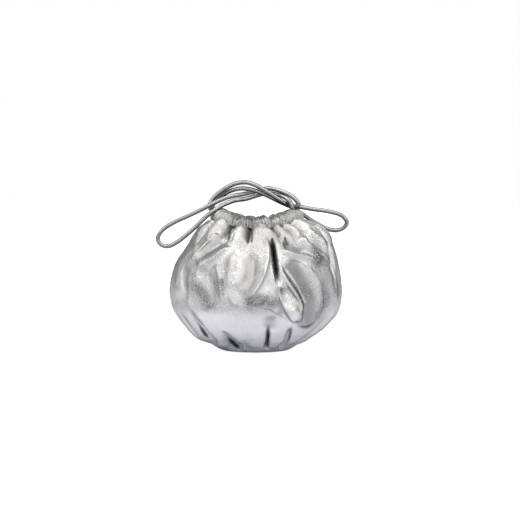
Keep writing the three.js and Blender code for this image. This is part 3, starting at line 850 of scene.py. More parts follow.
def facet_offset(
    points: np.ndarray, normals: np.ndarray, offset: np.ndarray, places: np.ndarray
) -> tuple[np.ndarray, np.ndarray]:
    """The offset with the front's flat panels in it, and the painted shade that they lay on the foil.

    A point moves along its normal n until it meets the panel's plane: ((q - p) . m) / (n . m), where q is
    the plane's middle and m the way it faces, but no further than FACET_REACH. Near the panel's line that
    replaces the offset, by the weight exp(-(distance / reach) ** sharp).

    Args:
        points: the smooth form, rows of three.
        normals: its normals, rows of three.
        offset: how far each point stands out before.
        places: where each point shows on the photograph.

    Returns:
        How far each point stands out after, and its painted shade from 0 to 1.
    """
    facing = points[:, 1] < -PANEL_FRONT
    painted_shade = np.zeros(len(points))
    for facet in FACETS:
        line = drawn_line(facet.line, PANEL_POINTS)
        distance = along_line(line, places)[0]
        across = np.exp(-((distance * PIXEL / (facet.reach * MM)) ** facet.sharp))
        weight = facet.strength * across * facing
        gap = np.linalg.norm(places - line[PANEL_POINTS // 2], axis=1)
        middle = np.argmin(np.where(facing, gap, np.inf))
        up, right = math.radians(facet.up), math.radians(facet.right)
        way = np.array([math.cos(up) * math.sin(right), -math.cos(up) * math.cos(right), math.sin(up)])
        centre = points[middle] - normals[middle] * facet.depth * MM
        target = (centre - points) @ way / np.maximum(normals @ way, LEAST_FACING)
        offset = offset + weight * (np.clip(target, -FACET_REACH, FACET_REACH) - offset)
        painted_shade += weight * facet.painted_shade
    return offset, painted_shade


def photo_places(points: np.ndarray) -> np.ndarray:
    """Where points appear on the photograph, in pixels.

    The camera looks down by its elevation at the bag's middle plane from its distance, so a point's
    offset from the view's axis grows by the distance over the point's depth.

    Args:
        points: rows of three, in metres.

    Returns:
        Rows of two.
    """
    cosine, sine = math.cos(CAMERA_ELEVATION), math.sin(CAMERA_ELEVATION)
    height = points[:, 2] * cosine + points[:, 1] * sine
    depth = CAMERA_DISTANCE + points[:, 1] * cosine - points[:, 2] * sine
    zoom = CAMERA_DISTANCE / depth / PIXEL
    return np.stack([PHOTO_MIDDLE_X + points[:, 0] * zoom, PHOTO_FLOOR_Y - height * zoom], axis=1)


def front_rise(points: np.ndarray, places: np.ndarray) -> np.ndarray:
    """How far the front's named folds lift each point.

    Across a fold the lift is exp(-(distance / reach) ** sharp), with a reach of its own on each side and
    the step's share of it on the right, blended over the edge. Along it the lift fades in and out.

    Args:
        points: rows of three, in metres.
        places: where each point shows on the photograph.

    Returns:
        The lift in metres, 0 on the back.
    """
    rise = np.zeros(len(points))
    facing = smoothstep(-points[:, 1], 0.0, FOLD_FRONT)
    blend = EDGE_BLEND / PIXEL
    for fold in FRONT_FOLDS:
        line = drawn_line(fold.line, LINE_POINTS)
        left, right = fold.left * MM / PIXEL, fold.right * MM / PIXEL
        near = close_to(line, FOLD_SPAN * max(left, right), places, facing > 0)
        distance, side, share = along_line(line, places[near])
        on_right = smoothstep(np.sign(side) * distance, -blend, blend)
        across = np.exp(-((distance / left) ** fold.sharp)) * (1 - on_right)
        across += fold.step * np.exp(-((distance / right) ** fold.sharp)) * on_right
        rise[near] += fold.rise * MM * across * end_fade(share, fold.fade) * facing[near]
    return rise


def painted_crease_shade(points: np.ndarray, places: np.ndarray) -> np.ndarray:
    """How much painted shade the front's closed folds and shaded hollows get at each point.

    A fold's mark is exp(-(distance / width) ** 3) across its line. Towards its ends it gets narrower and
    fainter. Where folds meet, the darker one shows.

    Args:
        points: rows of three, in metres.
        places: where each point shows on the photograph.

    Returns:
        The mark from 0 to 1, 0 on the back.
    """
    dark = np.zeros(len(points))
    on_front = points[:, 1] < -MARK_FRONT
    for crease in PAINTED_CREASE_SHADES:
        line = drawn_line(crease.line, LINE_POINTS)
        half = crease.width * MM / PIXEL
        near = close_to(line, MARK_SPAN * half, places, on_front)
        distance, _, share = along_line(line, places[near])
        fade = end_fade(share, crease.fade)
        width = half * (MARK_END_WIDTH + (1 - MARK_END_WIDTH) * fade)
        mark = crease.strength * np.sqrt(fade) * np.exp(-((distance / width) ** MARK_SHARPNESS))
        dark[near] = np.maximum(dark[near], mark)
    return dark


def grain_gain(points: np.ndarray, places: np.ndarray) -> np.ndarray:
    """What the grain patches of the front add to the grain's strength at each point.

    Args:
        points: rows of three, in metres.
        places: where each point shows on the photograph.

    Returns:
        The sum of the gains, each times exp(-(distance / reach) ** 3), 0 on the back.
    """
    gain = np.zeros(len(points))
    for patch in GRAIN_PATCHES:
        distance = along_line(drawn_line(patch.line, PANEL_POINTS), places)[0]
        gain += patch.gain * np.exp(-((distance * PIXEL / (patch.reach * MM)) ** MARK_SHARPNESS))
    return gain * (points[:, 1] < 0.0)


Feed = bpy.types.NodeSocket | float | tuple[float, ...]
Colour = tuple[float, float, float]


class NodeBoard:
    """A small helper that adds nodes to a tree and feeds their sockets."""

    def __init__(self, tree: bpy.types.NodeTree) -> None:
        """Keeps the tree."""
        self.tree = tree

    def feed(self, node: bpy.types.Node, feeds: dict[str | int, Feed]) -> None:
        """Gives sockets of a node what feeds them.

        Args:
            node: the node.
            feeds: for each input, by name or number, the output that it reads or its constant.
        """
        for key, value in feeds.items():
            socket = node.inputs[key]
            if isinstance(value, bpy.types.NodeSocket):
                self.tree.links.new(value, socket)
            else:
                socket.default_value = (*value, 1.0) if socket.type == "RGBA" else value

    def add(
        self, kind: str, feeds: dict[str | int, Feed] | None = None, **values: object
    ) -> bpy.types.Node:
        """Adds a node.

        Args:
            kind: the node's type name, without its first word where that is ShaderNode.
            feeds: what its inputs get.
            values: properties of the node.

        Returns:
            The node.
        """
        node = self.tree.nodes.new(kind if kind.startswith("NodeGroup") else f"ShaderNode{kind}")
        for key, value in values.items():
            setattr(node, key, value)
        self.feed(node, feeds or {})
        return node

    def math(self, operation: str, first: Feed, second: Feed) -> bpy.types.NodeSocket:
        """Two numbers put together."""
        return self.add("Math", {0: first, 1: second}, operation=operation).outputs[0]

    def mix(self, factor: Feed, start: Feed, end: Feed) -> bpy.types.NodeSocket:
        """The colour start where factor is 0 and end where it is 1."""
        return self.add("Mix", {"Factor": factor, "A": start, "B": end}, data_type="RGBA").outputs["Result"]

    def spread(
        self, value: Feed, low: float, high: float, start: Feed, end: Feed, kind: str = "SMOOTHSTEP"
    ) -> bpy.types.NodeSocket:
        """Takes a value's range from low to high over to the range from start to end.

        Args:
            value: the value.
            low: where the result is start.
            high: where the result is end.
            start: the result at and below low.
            end: the result at and above high.
            kind: how it goes from one to the other.

        Returns:
            The result.
        """
        feeds = {"Value": value, "From Min": low, "From Max": high, "To Min": start, "To Max": end}
        return self.add("MapRange", feeds, interpolation_type=kind).outputs["Result"]

    def noise(
        self, place: Feed, scale: float, detail: float, roughness: float = 0.5, output: str = "Fac"
    ) -> bpy.types.NodeSocket:
        """A noise that is fixed to a place."""
        feeds = {"Vector": place, "Scale": scale, "Detail": detail, "Roughness": roughness}
        return self.add("TexNoise", feeds).outputs[output]

    def mark(self, name: str) -> bpy.types.NodeSocket:
        """A number that the piece holds at each point."""
        return self.add("Attribute", attribute_name=name).outputs["Fac"]

    def ramp(self, factor: Feed, stops: tuple[tuple[float, Colour], ...]) -> bpy.types.NodeSocket:
        """A colour ramp.

        Args:
            factor: where on the ramp.
            stops: places from 0 to 1 and their colours.

        Returns:
            The colour.
        """
        node = self.add("ValToRGB", {"Fac": factor})
        elements = node.color_ramp.elements
        while len(elements) < len(stops):
            elements.new(0.5)
        for element, (place, colour) in zip(elements, stops):
            element.position = place
            element.color = (*colour, 1.0)
        return node.outputs["Color"]

    def bump(self, height: Feed, distance: float) -> bpy.types.NodeSocket:
        """The normal that a height in this much relief gives."""
        return self.add("Bump", {"Height": height, "Distance": distance}).outputs["Normal"]


def new_material(name: str) -> tuple[bpy.types.Material, NodeBoard, bpy.types.Node]:
    """A material with nodes, its board and its shader."""
    made = bpy.data.materials.new(name)
    made.use_nodes = True
    return made, NodeBoard(made.node_tree), made.node_tree.nodes["Principled BSDF"]


# The foil's grain in cells: how large the noises that bend, crinkle and stretch it are, and how far it bends
WARP_SCALE = 0.6
WARP_REACH = (1.4, 1.4, 1.4)
CRINKLE_SCALE = 0.35
STRETCH_SCALE = 0.045

# How wide a cell's border is, where the slow noise stretches the leather, and what stays of its cells there
BORDER_WIDTH = 0.42
STRETCH_RANGE = (0.38, 0.62)
STRETCHED_CELLS = 0.6


def leather_grain_group() -> bpy.types.NodeTree:
    """Grain of foiled leather: a height for bump and a 0 to 1 mask of the fine cracks.

    The height adds small cells, whose borders are the cracks, to a softer crinkle. Where a slow noise is
    low, the leather is stretched and the cells fade.

    Returns:
        The node group.
    """
    group = bpy.data.node_groups.new("foil_leather_grain", "ShaderNodeTree")
    face = group.interface
    face.new_socket("Cell Size", in_out="INPUT", socket_type="NodeSocketFloat")
    face.new_socket("Vector", in_out="INPUT", socket_type="NodeSocketVector")
    face.new_socket("Height", in_out="OUTPUT", socket_type="NodeSocketFloat")
    face.new_socket("Cracks", in_out="OUTPUT", socket_type="NodeSocketFloat")
    board = NodeBoard(group)
    inlet = board.add("NodeGroupInput")
    feeds = {0: inlet.outputs["Vector"], 1: inlet.outputs["Cell Size"]}
    scaled = board.add("VectorMath", feeds, operation="DIVIDE").outputs[0]
    warp = board.noise(scaled, WARP_SCALE, detail=3.0, output="Color")
    bent = board.add("VectorMath", {0: warp, 1: WARP_REACH, 2: scaled}, operation="MULTIPLY_ADD")
    cells = board.add("TexVoronoi", {"Vector": bent.outputs[0], "Scale": 1.0}, feature="DISTANCE_TO_EDGE")
    border = board.spread(cells.outputs["Distance"], 0.0, BORDER_WIDTH, 0.0, 1.0)
    crinkle = board.noise(scaled, CRINKLE_SCALE, detail=6.0, roughness=0.6)
    slow = board.noise(scaled, STRETCH_SCALE, detail=2.0)
    stretch = board.spread(slow, *STRETCH_RANGE, STRETCHED_CELLS, 1.0)
    height = board.math("ADD", board.math("MULTIPLY", border, stretch), crinkle)
    cracks = board.math("MULTIPLY", board.math("SUBTRACT", 1.0, border), stretch)
    board.add("NodeGroupOutput", {"Height": height, "Cracks": cracks})
    return group


@dataclass(frozen=True)
class SilverLeather:
    """Foiled leather: metal with a cell grain, fine dark cracks, a slow change of tone and painted shade."""

    name: str
    light: Colour
    dark: Colour
    crack: Colour
    cell: float
    smooth_roughness: float
    worn_roughness: float
    bump: float
    crack_strength: float = 0.5
    # Colours of painted shade: near black in the folds, grey on the flat panels
    crease: Colour = (0.05, 0.05, 0.055)
    shade: Colour = (0.2, 0.2, 0.215)
    edge: Colour = (0.5, 0.5, 0.53)
    tone_scale: float = 22.0
    tone_range: tuple[float, float] = (0.36, 0.62)
    wear_range: tuple[float, float] = (0.3, 0.7)

    def material(self, grain: bpy.types.NodeTree) -> bpy.types.Material:
        """Makes the material.

        Args:
            grain: the group of leather_grain_group.

        Returns:
            The material, which reads Object coordinates, the piece's crease and panel marks of painted
            shade, and taut.
        """
        made, board, shader = new_material(self.name)
        place = board.add("TexCoord").outputs["Object"]
        texture = board.add("Group", {"Cell Size": self.cell, "Vector": place}, node_tree=grain)
        tone = board.noise(place, self.tone_scale, detail=5.0)
        loose = board.math("SUBTRACT", 1.0, board.mark("taut"))
        cracks = board.math("MULTIPLY", texture.outputs["Cracks"], self.crack_strength)
        low, high = self.tone_range
        colour = board.ramp(tone, ((low, self.dark), (high, self.light)))
        colour = board.mix(board.math("MULTIPLY", cracks, loose), colour, self.crack)
        # Painted shade: grey where the panels' mark says, near black where crease says
        colour = board.mix(board.mark("painted_shade"), colour, self.shade)
        colour = board.mix(board.mark("crease"), colour, self.crease)
        ends = (self.smooth_roughness, self.worn_roughness)
        rough = board.spread(tone, *self.wear_range, *ends, "LINEAR")
        height = board.math("MULTIPLY", texture.outputs["Height"], loose)
        feeds = {
            "Metallic": 1.0,
            "Specular Tint": self.edge,
            "Base Color": colour,
            "Roughness": rough,
            "Normal": board.bump(height, self.bump),
        }
        board.feed(shader, feeds)
        return made


@dataclass(frozen=True)
class Suede:
    """The unfoiled flesh side of the leather, seen inside the bag."""

    name: str = "grey_suede"
    colour: Colour = (0.22, 0.21, 0.2)
    raised: Colour = (0.33, 0.315, 0.3)
    nap_scale: float = 900.0
    nap: float = 0.2 * MM
    nap_range: tuple[float, float] = (0.3, 0.7)
    roughness: float = 0.92

    def material(self) -> bpy.types.Material:
        """Makes the material, a rough nap with a fine noise.

        Returns:
            The material, which reads Object coordinates.
        """
        made, board, shader = new_material(self.name)
        nap = board.noise(board.add("TexCoord").outputs["Object"], self.nap_scale, detail=4.0)
        low, high = self.nap_range
        colour = board.ramp(nap, ((low, self.colour), (high, self.raised)))
        normal = board.bump(nap, self.nap)
        board.feed(shader, {"Roughness": self.roughness, "Base Color": colour, "Normal": normal})
        return made


@dataclass(frozen=True)
class CordLeather:
    """Rolled foil leather: fine cracks across the cord and an underside darkened by painted shade."""

    name: str = "silver_cord_leather"
    light: Colour = (0.48, 0.48, 0.49)
    dark: Colour = (0.1, 0.1, 0.11)
    # How far the painted shade darkens the underside
    underside_shade: float = 0.7
    cracks_along: float = 1000.0
    cracks_around: float = 9.0
    relief: float = 0.25 * MM
    crack_range: tuple[float, float] = (0.34, 0.54)
    cracked_roughness: float = 0.38
    plain_roughness: float = 0.16

    def material(self) -> bpy.types.Material:
        """Makes the material.

        Returns:
            The material, which reads the cord's own UV map and its mark under, for the painted shade
            underneath.
        """
        made, board, shader = new_material(self.name)
        scale = (self.cracks_along, self.cracks_around, 1.0)
        feeds = {"Vector": board.add("TexCoord").outputs["UV"], "Scale": scale}
        place = board.add("Mapping", feeds).outputs["Vector"]
        cracks = board.noise(place, scale=1.0, detail=4.0, roughness=0.65)
        low, high = self.crack_range
        colour = board.ramp(cracks, ((low, self.dark), (high, self.light)))
        under = board.math("MULTIPLY", board.mark("under"), self.underside_shade)
        ends = (self.cracked_roughness, self.plain_roughness)
        feeds = {
            "Metallic": 1.0,
            "Base Color": board.mix(under, colour, self.dark),
            "Roughness": board.spread(cracks, 0.0, 1.0, *ends, "LINEAR"),
            "Normal": board.bump(cracks, self.relief),
        }
        board.feed(shader, feeds)
        return made


@dataclass
class BodyShell:
    """The pleated pouch: an outer face with every fold and an inner face a wall's thickness inside."""

    form: BagForm
    wall: float = 1.6 * MM
    columns: int = 460
    rows: int = 196
    inner_rows: int = 18
    inner_reach: int = 4
    fine_rows: int = 2000
    crowding: float = 0.42
    crinkle: float = 0.7 * MM
    crinkle_shares: tuple[float, float, float] = (1.6, 0.6, 2.8)
    crinkle_ends: tuple[float, float, float] = (0.55, 1.2, 0.5)
    crinkle_top: tuple[float, float] = (0.7, 0.95)
    crinkle_bottom: float = 0.2
    long_cells: tuple[float, float] = (9.0, 34.0)
    short_cells: tuple[float, float] = (4.5, 12.0)
    broad_cells: tuple[float, float] = (24.0, 40.0)
    lobe_up: float = 6.4 * MM
    lobe_start: tuple[float, float] = (0.8, 0.955)
    lift_up: tuple[float, float] = (0.84, 0.945)
    lift_down: tuple[float, float] = (0.965, 0.995)
    lift_facing: tuple[float, float] = (0.2, 0.7)
    edge_pull: float = 0.55
    floor_fade: float = 0.05
    # Painted shade in the folds: its greatest strength, the passes of the wide mean, and the depths below it
    # over which it grows
    fold_shade: float = 0.7
    mean_passes: int = 40
    fold_depths: tuple[float, float] = (1.6 * MM, 6.0 * MM)
    tautness: float = 0.85
    shaded_tautness: float = 1.1
    taut_heights: tuple[float, float] = (0.29, 0.37)
    base_gap: float = 0.3 * MM

    def turns(self) -> np.ndarray:
        """The turns of the grid's columns."""
        return crowded_turns(self.columns, self.crowding)

    def place_rows(self, count: int) -> np.ndarray:
        """Places along SECTIONS for the grid's rows, evenly spaced along the front's upright line.

        Args:
            count: how many rows.

        Returns:
            Places from 0 to the last section.
        """
        fine = np.linspace(0, len(SECTIONS) - 1, self.fine_rows)
        line = self.form.smooth(np.array([0.0]), fine)[:, 0]
        length = np.concatenate([[0], np.cumsum(np.linalg.norm(np.diff(line, axis=0), axis=1))])
        return np.interp(np.linspace(0, length[-1], count), length, fine)

    def relief(self) -> tuple[np.ndarray, np.ndarray, np.ndarray, np.ndarray]:
        """The outer face as the smooth form, its normals and how far each point moves along them.

        The offset is the lobes less the neck's furrows, the belly's folds less the base's tucks, the
        front's flat panels and named folds, and a crinkle of noise drawn out along the furrows. The
        places on the photograph are those of the gathered form, before panels and named folds.

        Returns:
            The smooth grid, its unit normals, the offset in metres and the panels' painted shade.
        """
        form, turns = self.form, self.turns()
        rows = self.place_rows(self.rows)
        smooth = form.smooth(turns, rows)
        normal = normals_of(smooth)
        height = smooth[:, :, 2] / form.body_height
        radius = np.linalg.norm(smooth[:, :, :2], axis=2)
        section = spline(SECTIONS, rows)[:, 0:1] + 0 * radius
        wide = turns[None, :] + 0 * radius
        gathers = form.furrows(GATHERS, lambda row: (1 - section) / (1 - row.reach), wide, radius)
        tucks = form.furrows(TUCKS, lambda row: section / row.reach, wide, radius)
        lobes = form.lobe_out * form.puff(turns)[None, :] * smoothstep(section, *self.lobe_start)
        edge = 1 - self.edge_pull * smoothstep(section, self.lobe_start[1], 1.0)
        floor = smoothstep(section, 0.0, self.floor_fade)
        offset = edge * (lobes - gathers) + floor * (form.belly(wide, height, radius) - tucks)
        flat_points, flat_normals = smooth.reshape(-1, 3), normal.reshape(-1, 3)
        gathered = flat_points + flat_normals * offset.reshape(-1, 1)
        gathered[:, 2] += self.lobe_lift(smooth).ravel()
        places = photo_places(gathered)
        panels = facet_offset(flat_points, flat_normals, offset.ravel(), places)
        offset, painted_shade = (values.reshape(radius.shape) for values in panels)
        offset += floor * edge * front_rise(flat_points, places).reshape(radius.shape)
        offset += floor * edge * self.crinkles(wide, section, radius)
        return smooth, normal, offset, painted_shade

    def crinkles(self, turns: np.ndarray, heights: np.ndarray, radius: np.ndarray) -> np.ndarray:
        """Small irregular folds, long up and down and stronger towards both gathered ends.

        Args:
            turns: each point's turn.
            heights: each point's height.
            radius: each point's distance from the middle.

        Returns:
            How far they move each point, in metres.
        """
        angle = np.radians(turns)
        up = heights * self.form.body_height
        place = np.stack([np.sin(angle) * radius, -np.cos(angle) * radius, up], axis=-1).reshape(-1, 3)
        long = cell_noise(place, *self.long_cells, seed=3)
        short = cell_noise(place, *self.short_cells, seed=8)
        broad = cell_noise(place, *self.broad_cells, seed=5)
        share = heights.ravel()
        middle, neck, base = self.crinkle_ends
        above, below = smoothstep(share, *self.crinkle_top), smoothstep(-share, -self.crinkle_bottom, 0.0)
        ends = middle + neck * above + base * below
        of_long, of_short, of_broad = self.crinkle_shares
        amount = self.crinkle * (ends * (of_long * long + of_short * short) + of_broad * broad)
        return amount.reshape(turns.shape)

    def build(self) -> bpy.types.Object:
        """Builds the closed shell.

        The inner face follows the outer one at its deepest folds, so that no hollow of the outer face
        comes through it.

        Returns:
            The piece, with the outer face in material slot 0 and the inner face in slot 1. Its mark
            crease is painted shade, growing from 0 to 1 down in the folds and along the front's closed
            folds, the panels' mark is their painted shade, and taut is near 1 where the leather is stretched
            smooth and below 0 where its grain stands out.
        """
        smooth, normal, offset, painted_shade = self.relief()
        outer = smooth + normal * offset[:, :, None]
        outer[:, :, 2] = np.maximum(outer[:, :, 2] + self.lobe_lift(smooth), 0.0)
        pick = np.linspace(self.rows - 1, 0, self.inner_rows).round().astype(int)
        deepest = widest_minimum(offset, self.rows // self.inner_rows, self.inner_reach)
        inner = smooth[pick] + normal[pick] * (deepest[pick] - self.wall)[:, :, None]
        inner[:, :, 2] = np.maximum(inner[:, :, 2], self.wall)
        inner[0] = outer[-1] - (normal[-1] * np.array([1, 1, 0])) * self.wall
        rings = np.concatenate([outer, inner, self.base_edge()])
        piece = ring_mesh("bag_body", rings, close_rows=True)
        inside = np.zeros(len(piece.data.polygons), dtype=np.int32)
        inside[self.rows * self.columns : (self.rows + self.inner_rows) * self.columns] = 1
        piece.data.polygons.foreach_set("material_index", inside)
        points = outer.reshape(-1, 3)
        places = photo_places(points)
        height = smooth[:, :, 2] / self.form.body_height
        full, start = self.taut_heights
        low_down = self.tautness * smoothstep(-height, -start, -full)
        taut = np.maximum(low_down, self.shaded_tautness * painted_shade)
        # crease holds the painted shade of the folds, and the panels' mark holds the painted shade of the
        # flat panels
        marks = {
            "crease": np.maximum(self.painted_fold_shade(offset).ravel(), painted_crease_shade(points, places)),
            "painted_shade": painted_shade.ravel(),
            "taut": taut.ravel() - grain_gain(points, places),
        }
        for name, values in marks.items():
            add_mark(piece, name, np.pad(values, (0, rings.size // 3 - len(values))))
        log.info("body: %d faces", len(piece.data.polygons))
        return piece

    def lobe_lift(self, smooth: np.ndarray) -> np.ndarray:
        """How far the lobes between the gathers rise over the casing's lower edge.

        It is a bell over the height times the puff, and fades towards both ends of the neck.

        Args:
            smooth: the form without folds.

        Returns:
            The lift in metres, rows by columns.
        """
        turns = self.turns()
        share = (smooth[:, :, 2] + self.form.dip(turns)[None, :]) / self.form.body_height
        start, end = self.lift_down
        bell = smoothstep(share, *self.lift_up) * smoothstep(-share, -end, -start)
        facing = smoothstep(np.abs(np.cos(np.radians(turns))), *self.lift_facing)
        return self.lobe_up * bell * (facing * self.form.puff(turns))[None, :]

    def painted_fold_shade(self, offset: np.ndarray) -> np.ndarray:
        """How much painted shade each point gets down in a fold, from 0 to fold_shade.

        It is a smooth step of how far the offset lies below its own mean over a wide neighbourhood.

        Args:
            offset: how far each point of the outer face stands out.

        Returns:
            The mask in the same layout.
        """
        below = neighbourhood_mean(offset, self.mean_passes) - offset
        return self.fold_shade * smoothstep(below, *self.fold_depths)

    def base_edge(self) -> np.ndarray:
        """Two rings where the wall meets the base panel: one above the floor, one on it."""
        turns = np.radians(self.turns())
        x = (self.form.base_width / 2 + self.base_gap) * np.sin(turns)
        y = -(self.form.base_depth / 2 + self.base_gap) * np.cos(turns)
        return np.stack([np.stack([x, y, np.full_like(x, z)], axis=-1) for z in (self.wall, 0.0)])


@dataclass
class Casing:
    """The ruffled channel round the neck: a rounded band that puffs out between its furrows."""

    form: BagForm
    middle: float
    half_width: float = 7.4 * MM
    half_height: float = 4.6 * MM
    squareness: float = 0.6
    puff_out: float = 3.0 * MM
    puff_up: float = 5.4 * MM
    crimp: float = 2.0 * MM
    crimp_pitch: float = 2.7 * MM
    crimp_drift: float = 1.1
    crimp_power: float = 0.7
    crimp_mean: float = 0.6
    swells: float = 2.4 * MM
    section_reach: float = 5.0 * MM
    swell_cells: tuple[float, float] = (5.0, 7.0)
    drift_cells: tuple[float, float] = (7.0, 12.0)
    bulge: float = 0.1
    underside: float = 0.2
    columns: int = 620
    around: int = 44
    crowding: float = 0.25

    def build(self) -> bpy.types.Object:
        """Builds the band.

        A section is a rounded box: the cosine of the section's angle times the half width, and the sine
        to the power of the squareness times the half height. The puff swells its outside and top, and
        wrinkles run across it.

        Returns:
            The piece.
        """
        turns = crowded_turns(self.columns, self.crowding)
        angle = np.linspace(0, 2 * np.pi, self.around, endpoint=False)[:, None]
        swell = self.form.puff(turns)[None, :]
        cosine, sine = np.cos(angle), np.sin(angle)
        wrinkle = self.wrinkles(turns, angle)
        out = cosine * (self.half_width + self.puff_out * swell) * (1 + self.bulge * np.abs(sine))
        out = out + wrinkle * cosine
        up = np.sign(sine) * self.half_height * np.abs(sine) ** self.squareness
        up = up + np.maximum(sine, 0.0) * self.puff_up * swell + wrinkle * np.maximum(sine, -self.underside)
        tilt = np.radians(turns)[None, :]
        x = self.form.neck_offset + (self.form.neck_width / 2 + out) * np.sin(tilt)
        y = -(self.form.neck_depth / 2 + out) * np.cos(tilt)
        z = self.middle - self.form.dip(turns)[None, :] + up
        rings = np.stack(np.broadcast_arrays(x, y, z), axis=-1)
        piece = ring_mesh("ruffled_casing", rings[::-1], close_rows=True)
        log.info("casing: %d faces", len(piece.data.polygons))
        return piece

    def wrinkles(self, turns: np.ndarray, angle: np.ndarray) -> np.ndarray:
        """Fine pleats across the band over coarser swells of noise.

        The pleats are the size of a sine of the length along the neck, and a slow noise shifts them.

        Args:
            turns: the columns' turns in degrees.
            angle: the rows' angles round the section, as a column.

        Returns:
            How far each point stands out, in metres.
        """
        tilt = np.radians(turns)[None, :]
        half_x, half_y = self.form.neck_width / 2, self.form.neck_depth / 2
        round_section = angle * self.section_reach
        place = np.stack(
            np.broadcast_arrays(np.sin(tilt) * half_x, np.cos(tilt) * half_y, round_section), axis=-1
        ).reshape(-1, 3)
        coarse = cell_noise(place, *self.swell_cells, seed=22)
        drift = cell_noise(place, *self.drift_cells, seed=23).reshape(len(angle), -1)
        step_x = half_x * np.diff(np.sin(tilt[0]), append=0.0)
        step_y = half_y * np.diff(np.cos(tilt[0]), append=half_y)
        along = np.cumsum(np.hypot(step_x, step_y))[None, :] / self.crimp_pitch
        wave = np.abs(np.sin(np.pi * (along + self.crimp_drift * drift)))
        crimp = wave**self.crimp_power - self.crimp_mean
        return self.crimp * crimp + self.swells * coarse.reshape(crimp.shape)


@dataclass
class BasePanel:
    """The oval leather panel under the bag, with a rounded edge."""

    width: float
    depth: float
    thickness: float
    edge: float = 0.5 * MM
    middle: float = 1 * MM
    sides: int = 96

    def build(self) -> bpy.types.Object:
        """Builds the panel as rings from the middle of its underside to the middle of its top.

        Returns:
            The piece.
        """
        inmost = self.middle - self.width / 2
        steps = np.array(
            [
                (inmost, 0.0),
                (-self.edge, 0.0),
                (0.0, self.edge),
                (0.0, self.thickness - self.edge),
                (-self.edge, self.thickness),
                (inmost, self.thickness),
            ]
        )
        angle = np.linspace(0, 2 * np.pi, self.sides, endpoint=False)
        shrink = 1 + steps[:, 0:1] / (self.width / 2)
        x = shrink * self.width / 2 * np.cos(angle)
        y = shrink * self.depth / 2 * np.sin(angle)
        z = np.broadcast_to(steps[:, 1:2], x.shape)
        piece = ring_mesh("base_panel", np.stack([x, y, z], axis=-1), close_rows=False, caps=True)
        log.info("base: %d faces", len(piece.data.polygons))
        return piece


